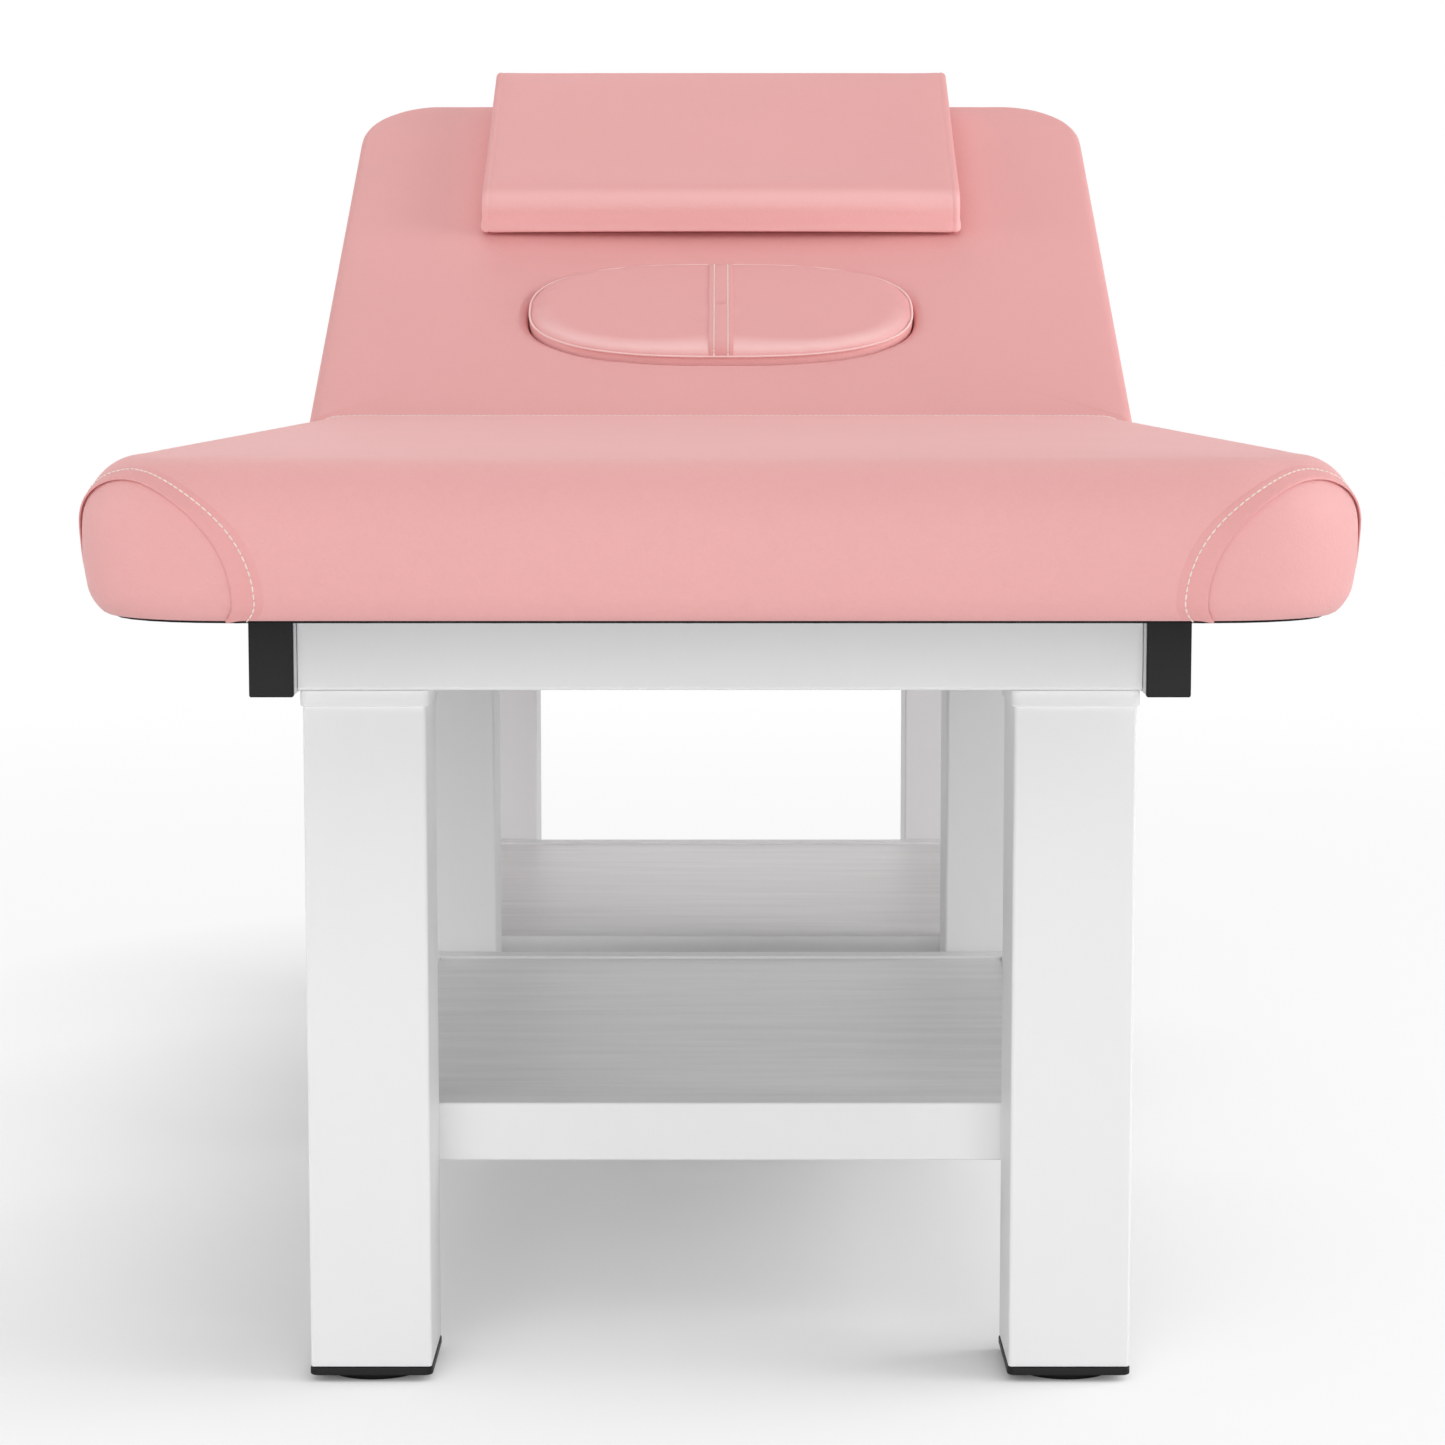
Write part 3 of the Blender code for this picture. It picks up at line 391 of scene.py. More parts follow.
# rounded outlines round a box; a station is the end it counts from, the way from there and the inset
def barPiece(name, low, high, axis, stations, radiusAt, mitre=0):
    first, second = [index for index in range(3) if index != axis]
    rings = []
    for end, shift, inset in stations:
        outline = evenOutline(
            low[first] + inset, high[first] - inset, low[second] + inset, high[second] - inset,
            (radiusAt(inset),) * 4, 1, 1, barSettings["cornerSteps"])
        ring = []
        for u, v in outline:
            slant = u - low[first] if mitre < 0 else high[first] - u
            way = shift + (slant if mitre else 0)
            point = [u, v]
            point.insert(axis, high[axis] - way if end else low[axis] + way)
            ring.append(point)
        rings.append(ring)
    piece = skin(name, rings)
    piece.modifiers.new("even_shading", "WEIGHTED_NORMAL").weight = 100
    return piece


def softEnds(radius):
    soft = quarter(radius, barSettings["endSteps"])
    return [(0, *step) for step in soft] + [(1, *step) for step in reversed(soft)]


def addFrame():
    def add(node, axis, kind, mitre=0):
        radius, endRadius = barSettings[kind]
        bar = barPiece(
            f"{node}_painted", *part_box(node), axis, softEnds(endRadius),
            lambda inset: max(radius - inset, radius * barSettings["leastShare"]), mitre)
        finishPiece(bar, "white_paint", "bed_frame", [node])

    for spot in legSpots:
        add(f"leg_{spot}", 2, "leg")
        add(f"collar_{spot}", 2, "collar")
    for side in sides:
        add(f"side_rail_{side}", 1, "rail")
    for beamName in ("front", "middle", "hinge", "rear"):
        add(f"crossbeam_{beamName}", 0, "beam")
    for bay in ("front", "rear"):
        for edge, axis, outward in (("front", 0, -1), ("rear", 0, 1), ("left", 1, -1), ("right", 1, 1)):
            add(f"{bay}_shelf_tube_{edge}", axis, "shelf", outward)


def addCaps():
    radius, endRadius = barSettings["cap"]
    soft = quarter(endRadius, barSettings["capSteps"])
    for face, end in enumerate(("front", "rear")):
        for side in sides:
            node = f"rail_cap_{end}_{side}"
            low, high = [corner.copy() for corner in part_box(node)]
            if end == "front":
                high.y = low.y + barSettings["capDepth"]
            else:
                low.y = high.y - barSettings["capDepth"]
            stations = [(face, *step) for step in soft] + [(1 - face, 0, 0)]
            cap = barPiece(f"{node}_moulded", low, high, 1, stations, lambda inset: radius)
            finishPiece(cap, "black_plastic", "bed_frame", [node])


def addFeet(settings):
    angles = [2 * pi * step / settings["ringCount"] for step in range(settings["ringCount"])]
    plugRadius, plugEnd = barSettings["plug"]
    for spot in legSpots:
        # flange of the plug, closed above by the leg
        node = f"foot_plug_{spot}"
        low, high = [corner.copy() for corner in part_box(node)]
        high.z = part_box(f"leg_{spot}")[0].z - settings["gap"]
        flange = barPiece(f"{node}_moulded", low, high, 2, softEnds(plugEnd), lambda inset: plugRadius)
        finishPiece(flange, "black_plastic", "bed_frame", [node])
        # round foot on its stem
        node = f"levelling_foot_{spot}"
        footLow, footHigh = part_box(node)
        centre, radius = (footLow + footHigh) / 2, (footHigh.x - footLow.x) / 2
        thick = low.z - footLow.z - settings["gap"]
        rim, heel, stem = settings["rim"], settings["heel"], settings["stemRadius"]
        profile = [(radius - rim, 0.0), (radius - heel, heel), (radius, rim)]
        profile += [(radius - inward, thick - down) for inward, down in quarter(rim, settings["rimSteps"])]
        profile += [(stem + skirt, thick) for skirt in settings["skirts"]] + [(stem, thick + settings["stemRise"])]
        foot = skin(f"{node}_rubber", [
            [(centre.x + away * cos(angle), centre.y + away * sin(angle), height) for angle in angles]
            for away, height in profile])
        foot.data.set_sharp_from_angle(angle=radians(settings["sharpAngle"]))
        finishPiece(foot, "black_rubber", node, [node])


def coverNode(node, finish):
    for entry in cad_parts[node].material_slots:
        entry.material = finishes[finish]


addFrame()
addCaps()
addFeet(footSettings)
for bay in ("front", "rear"):
    coverNode(f"{bay}_shelf_panel", "shelf_metal")
for board in ("seat_board", "backrest_board"):
    coverNode(board, "dust_cover")
for side in sides:
    for part in ("hinge_base", "hinge_arm", "hinge_pin"):
        coverNode(f"{part}_{side}", "hinge_zinc")
print("painted frame, caps and feet made")


# Cushion covers: heights count from the board's lower face

cover = {
    "halfWidth": 0.350,
    "boardZ": 0.4512, "boardThickness": 0.012, "boardInset": 0.019, "boardGap": 0.0003,
    "lip": 0.0011, "edgeTop": 0.0880, "crown": 0.0008,
    "seatTop": (0.033, 0.0392), "backTop": (0.010, 0.010),  # width and height of the top rounding
    "lowWidth": 0.019, "lowHeight": 0.0355, "lowAngle": 75.0,
    "seatCorner": 0.0875, "backCorner": 0.074, "squareCorner": 0.010, "leastCorner": 0.003,
    "seatFront": -0.8572211, "seatRear": (0.020, 0.012),
    "hingeY": 0.3152789, "hingeZ": 0.4480, "hingeDrop": 0.0032,
    "tilt": 29.1, "steepest": 60.0, "swingGap": 0.002,
    "backLength": 0.6333, "backNear": 0.020,
    "lowSteps": 6, "sideSteps": 2, "topSteps": 9, "cornerSteps": 12,
    "acrossSteps": 40, "alongSteps": 70, "backSteps": 40, "blendSteps": 8, "ceilingSteps": 2,
    "blendWidth": 0.12, "seatHighlight": 0.14,
}
lowMiddle = cover["lip"] + cover["lowHeight"] * sin(radians(cover["lowAngle"]))
cushionTop = cover["edgeTop"] + cover["crown"]
backSurface = cover["hingeDrop"] + cushionTop
backPlace = (
    Matrix.Translation((0, cover["hingeY"], cover["hingeZ"])) @ Matrix.Rotation(radians(cover["tilt"]), 4, "X"))
onBase = Matrix.Translation((0, 0, cover["boardZ"]))
onBack = backPlace @ Matrix.Translation((0, 0, cover["hingeDrop"]))
fromBack = onBack.inverted()


def sectionLevels(topWidth, topHeight):
    highMiddle = cover["edgeTop"] - topHeight
    levels = []
    for step in range(cover["lowSteps"] + 1):
        angle = radians(cover["lowAngle"]) * (1 - step / cover["lowSteps"])
        levels.append((cover["lowWidth"] * (1 - cos(angle)), lowMiddle - cover["lowHeight"] * sin(angle)))
    for step in range(1, cover["sideSteps"]):
        levels.append((0.0, lowMiddle + (highMiddle - lowMiddle) * step / cover["sideSteps"]))
    for step in range(cover["topSteps"] + 1):
        angle = pi / 2 * step / cover["topSteps"]
        levels.append((topWidth * (1 - cos(angle)), highMiddle + topHeight * sin(angle)))
    return levels


def roundInset(height, width, drop):
    rise = (height - cover["edgeTop"] + drop) / drop
    return width * (1 - sqrt(max(0.0, 1 - rise * rise))) if rise > 0 else 0.0


def lowerInset(height):
    drop = (lowMiddle - height) / cover["lowHeight"]
    return cover["lowWidth"] * (1 - sqrt(1 - drop * drop)) if drop > 0 else 0.0


def seatInset(height):
    return lowerInset(height) + roundInset(height, *cover["seatTop"])


def seatFrontAt(height):
    return cover["seatFront"] + seatInset(height)


# the seat's end stays clear of the backrest at its steepest
def seatRearAt(height):
    steep = radians(cover["steepest"])
    near = cover["backNear"]
    nearEdge = (backSurface - near) * sin(steep) - near * cos(steep) + near + cover["swingGap"]
    overAxis = height + cover["hingeDrop"]
    surface = (backSurface + cover["swingGap"] - overAxis * cos(steep)) / sin(steep)
    return cover["hingeY"] - min(nearEdge, surface) - roundInset(height, *cover["seatRear"]) - lowerInset(height)


def backNearAt(height):
    return roundInset(height, cover["backNear"], cover["backNear"]) + lowerInset(height)


def backFarAt(height):
    return cover["backLength"] - lowerInset(height) - roundInset(height, *cover["backTop"])


def crownAt(x, y, low, high, topWidth):
    across = min(1.0, abs(x) / (cover["halfWidth"] - topWidth))
    along = min(1.0, abs(y - (low + high) / 2) / ((high - low) / 2))
    return cover["edgeTop"] + cover["crown"] * (1 - across ** 4) * (1 - along ** 6)


def ringAt(inset, low, high, lowCorner, highCorner, counts):
    lowRadius = max(lowCorner - inset, cover["leastCorner"])
    highRadius = max(highCorner - inset, cover["leastCorner"])
    side = cover["halfWidth"] - inset
    return evenOutline(-side, side, low, high, (lowRadius, highRadius, highRadius, lowRadius), *counts)


# adds the rings of a cushion's side to lay, from below, and returns the last outline
def addSide(lay, top, lowAt, highAt, lowCorner, highCorner, counts):
    for inward, height in sectionLevels(*top):
        ring = ringAt(inward, lowAt(height), highAt(height), lowCorner, highCorner, counts)
        lay.append(level(ring, height))
    return ring


def seatCover():
    counts = (cover["acrossSteps"], cover["alongSteps"], cover["cornerSteps"])
    inset, gap = cover["boardInset"], cover["boardGap"]
    board = ringAt(
        inset - gap, cover["seatFront"] + inset - gap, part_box("seat_board")[1].y + gap,
        cover["seatCorner"], cover["squareCorner"] + inset, counts)
    ceiling = cover["boardThickness"] + gap
    lay = [level(board, ceiling), level(board, cover["lip"])]
    ring = addSide(
        lay, cover["seatTop"], seatFrontAt, seatRearAt, cover["seatCorner"], cover["squareCorner"], counts)
    low, high = seatFrontAt(cover["edgeTop"]), seatRearAt(cover["edgeTop"])
    width, topWidth = cover["blendWidth"], cover["seatTop"][0]
    side = cover["halfWidth"] - topWidth - width
    rect = (-side, side, low + width, high - width)
    piece = skin("seat_cover", lay, fills=[
        (-1, ring, rect, counts, cover["blendSteps"], lambda x, y: (x, y, crownAt(x, y, low, high, topWidth))),
        (0, board, rect, counts, cover["ceilingSteps"], lambda x, y: (x, y, ceiling))])
    piece.data.transform(onBase)
    return piece


faceSettings = {
    "place": 0.1995, "halfLength": 0.168, "halfWidth": 0.0835, "power": 2.6,
    "groove": 0.0025, "lipWidth": 0.020, "rings": 14,
    # how far from the hole's wall, and how far below the surface
    "lip": [(0.016, 0.0), (0.013, 0.0001), (0.010, 0.0002), (0.008, 0.0003), (0.006, 0.0006), (0.0044, 0.0011),
            (0.0030, 0.0019), (0.0018, 0.0032), (0.0009, 0.0050), (0.0003, 0.0075), (0.0, 0.011), (0.0, 0.020),
            (0.0, 0.040), (0.0, 0.060)],
}
onFace = onBack @ Matrix.Translation((0, faceSettings["place"], 0))
faceUp = (onFace.to_3x3() @ Vector((0, 0, 1))).normalized()


def ovalAt(angle, halfLength, halfWidth):
    power = faceSettings["power"]
    c, s = cos(angle), sin(angle)
    radius = (abs(c / halfLength) ** power + abs(s / halfWidth) ** power) ** (-1 / power)
    return radius * c, radius * s


def backCover():
    counts = (cover["backSteps"], cover["backSteps"], cover["cornerSteps"])
    inset, gap = cover["boardInset"], cover["boardGap"]
    board = ringAt(
        inset - gap, inset - gap, cover["backLength"] - inset + gap,
        cover["squareCorner"] + inset, cover["backCorner"], counts)
    ceiling = cover["boardThickness"] + gap
    face = faceSettings
    length, width = face["halfLength"] + face["groove"], face["halfWidth"] + face["groove"]
    low, high = backNearAt(cover["edgeTop"]), backFarAt(cover["edgeTop"])
    topWidth = cover["backTop"][0]
    edge = ringAt(topWidth, low, high, cover["squareCorner"], cover["backCorner"], counts)
    angles = [atan2(y - face["place"], x) for x, y in edge]

    def oval(extra):
        spots = [ovalAt(angle, length + extra, width + extra) for angle in angles]
        return [(x, y + face["place"]) for x, y in spots]

    lay = [level(oval(0), ceiling), level(board, ceiling), level(board, cover["lip"])]
    addSide(lay, cover["backTop"], backNearAt, backFarAt, cover["squareCorner"], cover["backCorner"], counts)
    outer = oval(face["lipWidth"])
    for step in range(1, face["rings"] + 1):
        row = [between(*pair, step / face["rings"]) for pair in zip(edge, outer)]
        lay.append([(x, y, crownAt(x, y, low, high, topWidth)) for x, y in row])
    for extra, drop in face["lip"]:
        lay.append([(x, y, crownAt(x, y, low, high, topWidth) - drop) for x, y in oval(extra)])
    piece = skin("backrest_cover", lay, wrap=True)
    piece.data.transform(onBack)
    return piece


# Soft finish: the padding swells under pressure, then the mesh is smoothed once

softSettings = {
    "frames": 20,
    "cloth": {
        "use_pressure": True, "uniform_pressure_force": 4.0, "vertex_group_mass": "held",
        "tension_stiffness": 15.0, "compression_stiffness": 15.0, "bending_stiffness": 0.5,
    },
    # how far the padding may swell, up to which height it is held, and how full it is
    "seat": (0.0012, 0.020, 0.95), "back": (0.0012, 0.060, 0.95),
    "plug": (0.0008, cushionTop, 0.9), "pillow": (0.0016, cushionTop + 0.010, 0.85),
}


def baked(piece):
    return bpy.data.meshes.new_from_object(piece.evaluated_get(bpy.context.evaluated_depsgraph_get()))


def puff(piece, cap, heldBelow, toFlat):
    scene = bpy.context.scene
    start = [point.co.copy() for point in piece.data.vertices]
    group = piece.vertex_groups.new(name="held")
    group.add([index for index, spot in enumerate(start) if (toFlat @ spot).z < heldBelow], 1.0, "REPLACE")
    cloth = piece.modifiers.new("puff", "CLOTH")
    for key, value in softSettings["cloth"].items():
        setattr(cloth.settings, key, value)
    cloth.settings.effector_weights.gravity = 0
    cloth.point_cache.frame_end = softSettings["frames"]
    for count in range(1, softSettings["frames"] + 1):
        scene.frame_set(count)
    swollen = baked(piece)
    piece.modifiers.remove(cloth)
    piece.vertex_groups.remove(group)
    scene.frame_set(1)
    for point, spot, moved in zip(piece.data.vertices, start, swollen.vertices):
        shift = moved.co - spot
        if shift.length > cap:
            shift *= cap / shift.length
        point.co = spot + shift
    bpy.data.meshes.remove(swollen)


# paints a highlight: stores per point how much of the paler leather colour is mixed in
def paintHighlight(piece, amountAt):
    painted_highlight = piece.data.attributes.new("painted_highlight", "FLOAT", "POINT")
    for point, entry in zip(piece.data.vertices, painted_highlight.data):
        entry.value = amountAt(point.co)


def soften(piece, kind, body, node, toFlat):
    cap, heldBelow, fill = softSettings[kind]
    puff(piece, cap, heldBelow, toFlat)
    smooth = piece.modifiers.new("smooth", "SUBSURF")
    smooth.levels = smooth.render_levels = 1
    finishPiece(piece, "pink_leather", body, [node])


seat = seatCover()
# painted highlight: the whole seat gets some of the paler colour, as if better lit than the backrest
paintHighlight(seat, lambda spot: cover["seatHighlight"])
soften(seat, "seat", "bed_frame", "seat_cushion", onBase.inverted())
soften(backCover(), "back", "backrest", "backrest_cushion", fromBack)
print("seat and backrest covers made")


# Face plug: a padded oval with a piped rim and a stitched band

plugSettings = {
    "counts": (52, 20, 8), "outlineCorner": 0.05,
    "rimHalfLength": 0.1702, "rimHalfWidth": 0.0855, "rimHeight": 0.0033, "rimRadius": 0.0010,
    "crease": 0.0024, "domeHeight": 0.0060, "domeWidth": 0.017, "domeSteps": 9, "domeSpacing": 1.6,
    "blendSteps": 6, "floorSteps": 2, "inner": (-0.115, 0.115, -0.038, 0.038),
    "boardGap": 0.0006,
    # inset and height: over the plug's floor, then below and above the cushion's top
    "foot": [(0.004, 0.0), (0.001, 0.001), (0.0, 0.004)],
    "wallMiddle": 0.045, "wallTop": -0.013,
    "rimWall": [(0.0008, -0.009), (0.0006, -0.003), (0.0004, 0.0010), (0.0001, 0.0021)],
    "rollStart": -30, "rollTurn": 220, "rollSteps": 6,
    # painted highlight on the plug's wall and the near side of its dome
    "highlightSlope": 1.4, "highlightPlace": 0.45, "highlightReach": 0.75,
}


# where a spot lies between the plug's middle, 0, and its rim, 1
def rimShare(x, y):
    power = faceSettings["power"]
    length, width = plugSettings["rimHalfLength"], plugSettings["rimHalfWidth"]
    return (abs(x / length) ** power + abs(y / width) ** power) ** (1 / power)


def domeAt(x, y):
    share = rimShare(x, y)
    inward = (1 - share) * hypot(x, y) / max(share, 1e-6)
    rise = min(1.0, max(0.0, inward - plugSettings["crease"]) / plugSettings["domeWidth"])
    return plugSettings["rimHeight"] + plugSettings["domeHeight"] * sqrt(1 - (1 - rise) ** 2)


def facePlug():
    values, counts = plugSettings, plugSettings["counts"]
    rim = (values["rimHalfLength"], values["rimHalfWidth"])
    base = (faceSettings["halfLength"], faceSettings["halfWidth"])
    outline = evenOutline(-rim[0], rim[0], -rim[1], rim[1], (values["outlineCorner"],) * 4, *counts)
    angles = [atan2(y, x) for x, y in outline]

    def oval(inward, half):
        return [ovalAt(angle, half[0] - inward, half[1] - inward) for angle in angles]

    bottom = cover["boardThickness"] + values["boardGap"]
    lay = [level(oval(inward, base), bottom + height) for inward, height in values["foot"]]
    lay += [level(oval(0.0, base), height) for height in (values["wallMiddle"], cushionTop + values["wallTop"])]
    lay += [level(oval(inward, rim), cushionTop + height) for inward, height in values["rimWall"]]
    radius = values["rimRadius"]
    for step in range(values["rollSteps"] + 1):
        angle = radians(values["rollStart"] + values["rollTurn"] * step / values["rollSteps"])
        height = cushionTop + (values["rimHeight"] + radius * sin(angle))
        lay.append(level(oval(radius * (1 - cos(angle)), rim), height))
    for step in range(values["domeSteps"] + 1):
        share = (step / values["domeSteps"]) ** values["domeSpacing"]
        ring = oval(values["crease"] + share * values["domeWidth"], rim)
        lay.append([(x, y, cushionTop + domeAt(x, y)) for x, y in ring])
    inner = values["inner"]
    floorRing = oval(values["foot"][0][0], base)
    piece = skin("face_plug_padded", lay, fills=[
        (-1, ring, inner, counts, values["blendSteps"], lambda x, y: (x, y, cushionTop + domeAt(x, y))),
        (0, floorRing, inner, counts, values["floorSteps"], lambda x, y: (x, y, bottom))])

    # painted highlight: the wall, and the side of the dome towards the seat, get the paler colour
    def highlightShare(spot):
        towardsSeat = min(1.0, max(0.0, -spot.y / rim[1] * values["highlightSlope"]))
        if spot.z < cushionTop + values["rimHeight"] - radius:
            return towardsSeat
        inward = (1 - rimShare(spot.x, spot.y)) * hypot(spot.x, spot.y)
        away = abs(inward / values["domeWidth"] - values["highlightPlace"])
        return towardsSeat * max(0.0, 1 - away / values["highlightReach"])

    paintHighlight(piece, highlightShare)
    piece.data.transform(onFace)
    return piece


plug = facePlug()
soften(plug, "plug", "face_plug", "face_plug", fromBack)
print("face plug made")


# Loose pillow: a slab with crisp edges, but for the round upper one towards the seat

pillowSettings = {
    "place": 0.4838, "length": 0.442, "depth": 0.270, "thickness": 0.040, "gap": 0.0003,
    "nearRadius": 0.018, "edgeRadius": 0.004, "leastRadius": 0.001, "endRadius": 0.005,
    "counts": (24, 4, 8), "endSteps": 5, "lengthSteps": 40, "seamPlace": 0.0075, "seamDepth": 0.0007,
    "seamHalf": 0.0012, "seamClear": 0.004, "endInset": 0.014, "endHeights": (-0.007, 0.005),
    # the near lower edge is rounded off, and the near end stands off the backrest
    "tuckWidth": 0.050, "tuckHeight": 0.0012,
    "liftReach": 0.070, "liftHeight": 0.0062, "liftShift": 0.0086, "liftBow": 0.65, "ease": 1.5,
    "highlightPlace": 0.60, "highlightReach": 1.10, "highlightFade": 0.010,  # painted highlight on the near rounding; place and reach are shares of the thickness, from the top
}


def pillow():
    values, counts = pillowSettings, pillowSettings["counts"]
    halfDeep, tuck, tuckHeight = values["depth"] / 2, values["tuckWidth"], values["tuckHeight"]

    def section(inset):
        halfDepth, halfHeight = halfDeep - inset, values["thickness"] / 2 - inset
        edge = max(values["edgeRadius"] - inset, values["leastRadius"])
        near = max(values["nearRadius"] - inset, values["leastRadius"])
        outline = evenOutline(-halfDepth, halfDepth, -halfHeight, halfHeight, (edge, edge, near, edge), *counts)
        points = []
        for u, v in outline:
            back = min(1.0, max(0.0, (tuck - halfDepth - u) / tuck))
            under = min(1.0, max(0.0, (tuckHeight * 2 - halfHeight - v) / tuckHeight / 2))
            points.append((u, v + tuckHeight * back ** values["ease"] * under))
        return points

    def bowAt(x):
        return 1 - values["liftBow"] * (x * 2 / values["length"]) ** 2

    def standOff(x, u, v):
        amount = max(0.0, 1 - (u + halfDeep) / values["liftReach"]) ** values["ease"] * bowAt(x)
        return x, u - values["liftShift"] * amount, v + values["liftHeight"] * amount

    half, seam, seamHalf = values["length"] / 2, values["seamPlace"], values["seamHalf"]
    stations = [(-half + forward, inset) for forward, inset in quarter(values["endRadius"], values["endSteps"])]
    stations += [(-half + seam - seamHalf, 0.0), (-half + seam, values["seamDepth"]), (-half + seam + seamHalf, 0.0)]
    flat = half - seam - values["seamClear"]
    middle = [(-flat + 2 * flat * step / values["lengthSteps"], 0.0) for step in range(values["lengthSteps"] + 1)]
    mirrored = [(-x, inset) for x, inset in reversed(stations)]
    lay = [[standOff(x, u, v) for u, v in section(inset)] for x, inset in stations + middle + mirrored]
    rect = (-halfDeep + values["endInset"], halfDeep - values["endInset"], *values["endHeights"])
    piece = skin("pillow_padded", lay, fills=[
        (end, section(values["endRadius"]), rect, counts, 1, lambda u, v, x=x: standOff(x, u, v))
        for end, x in ((0, -half), (-1, half))])

    # painted highlight: paler colour on the near rounding, brightest at a share of the thickness from the top
    def highlightShare(spot):
        amount = bowAt(spot.x)
        inward = spot.y + values["liftShift"] * amount + halfDeep
        share = 0.5 - (spot.z - values["liftHeight"] * amount) / values["thickness"]
        fade = min(1.0, max(0.0, (values["nearRadius"] - inward) / values["highlightFade"]))
        return fade * max(0.0, 1 - abs(share - values["highlightPlace"]) / values["highlightReach"])

    paintHighlight(piece, highlightShare)
    height = backSurface + values["gap"] + values["thickness"] / 2
    piece.data.transform(backPlace @ Matrix.Translation((0, values["place"], height)))
    return piece


soften(pillow(), "pillow", "pillow", "pillow", fromBack)
print("pillow made")


# Sewn details: hems of the seat's corner panels, the plug's band and piping, and their threads

hemSettings = {
    "centreHeight": 0.0118,
    "edgeHalf": 0.0749, "edgeRise": 0.0644, "stitchHalf": 0.0861, "stitchRise": 0.0699,
    "lowest": 0.0022, "pullIn": 0.0045, "archSteps": 60, "lowSteps": 4,
    # share of the way from the fold to the stitch, and height over the cover in millimetres
    "profile": [(0.40, -0.9), (0.32, 0.20), (0.15, 0.55), (0.0, 0.75), (-0.05, 0.95), (-0.05, 1.2), (0.0, 1.45),
                (0.10, 1.55), (0.28, 1.45), (0.5, 1.15), (0.8, 0.85), (0.95, 0.55), (1.0, 0.45), (1.05, 0.55),
                (1.2, 0.5), (1.4, 0.2), (1.55, -0.3), (1.5, -0.9)],
    "sideLift": 1.45, "frontLift": 1.5, "slopeStep": 0.0002, "sharpAngle": 60,
}
threadSettings = {
    "seat": {"Pitch": 0.0042, "Stitch Length": 0.0041, "Thread Radius": 0.00048},
    "rear": {"Pitch": 0.0045, "Stitch Length": 0.0047, "Thread Radius": 0.00060},
    "plug": {"Pitch": 0.0036, "Stitch Length": 0.0040, "Thread Radius": 0.00060},
    "seatLift": 0.0006, "rearLift": 0.0002, "plugLift": 0.0008,
    "rearPlace": 0.010, "rearLow": 0.75, "rearRoundSteps": 12, "rearFlat": 0.30, "rearFlatStep": 0.025,
    "plugHalf": 0.0061, "plugEndGap": 0.001, "plugSteps": 40,
    "sphereSegments": 6, "sphereRings": 4, "searchReach": 0.01,
}
bandSettings = {
    "steps": 48, "endGap": 0.0004, "sharpAngle": 50,
    # across the band and height over the dome, in millimetres
    "profile": [(-9.5, -0.9), (-10.9, -0.3), (-10.8, 0.6), (-10.2, 0.95), (-7.6, 1.0), (-6.7, 0.8), (-6.1, 0.5),
                (-5.5, 0.8), (-4.6, 1.05), (0.0, 1.15), (4.6, 1.05), (5.5, 0.8), (6.1, 0.5), (6.7, 0.8),
                (7.6, 1.0), (10.2, 0.95), (10.8, 0.6), (10.9, -0.3), (9.5, -0.9)],
    "pipeSteps": 176, "pipeRound": 8, "pipeInset": 0.0010, "pipeRadius": 0.00095, "pipeHeight": 0.7,
}


def coverSurface(piece):
    return BVHTree.FromObject(piece, bpy.context.evaluated_depsgraph_get())


def settle(surface, spot, normal, lift):
    reach = threadSettings["searchReach"]
    found = surface.ray_cast(spot + normal * reach, -normal, 2 * reach)[0]
    return (found if found is not None else spot) + normal * lift


# a spot on a front corner of the seat, by its way round the outline from the diagonal
def cornerSpot(side, along, height):
    radius, small = cover["seatCorner"], hemSettings["slopeStep"]
    slope = (seatInset(height + small) - seatInset(height - small)) / (2 * small)
    turn = max(-pi / 4, min(pi / 4, along / radius))
    angle = turn - pi / 4
    outward = Vector((cos(angle), sin(angle), 0))
    onward = Vector((-sin(angle), cos(angle), 0))
    centre = Vector((cover["halfWidth"] - radius, cover["seatFront"] + radius, cover["boardZ"] + height))
    spot = centre + outward * (radius - seatInset(height)) + onward * (along - turn * radius)
    normal = (outward + Vector((0, 0, slope))).normalized()
    mirror = Vector((side, 1, 1))
    return spot * mirror, normal * mirror


def archPoints(half, rise):
    values = hemSettings
    centre, low = values["centreHeight"], values["lowest"]
    points = []
    for step in range(values["lowSteps"]):
        share = 1 - step / values["lowSteps"]
        points.append((-half + values["pullIn"] * share ** 2, centre - (centre - low) * share))
    for step in range(values["archSteps"] + 1):
        angle = pi * step / values["archSteps"]
        points.append((-half * cos(angle), centre + rise * sin(angle)))
    return points + [(-along, height) for along, height in reversed(points[:values["lowSteps"]])]


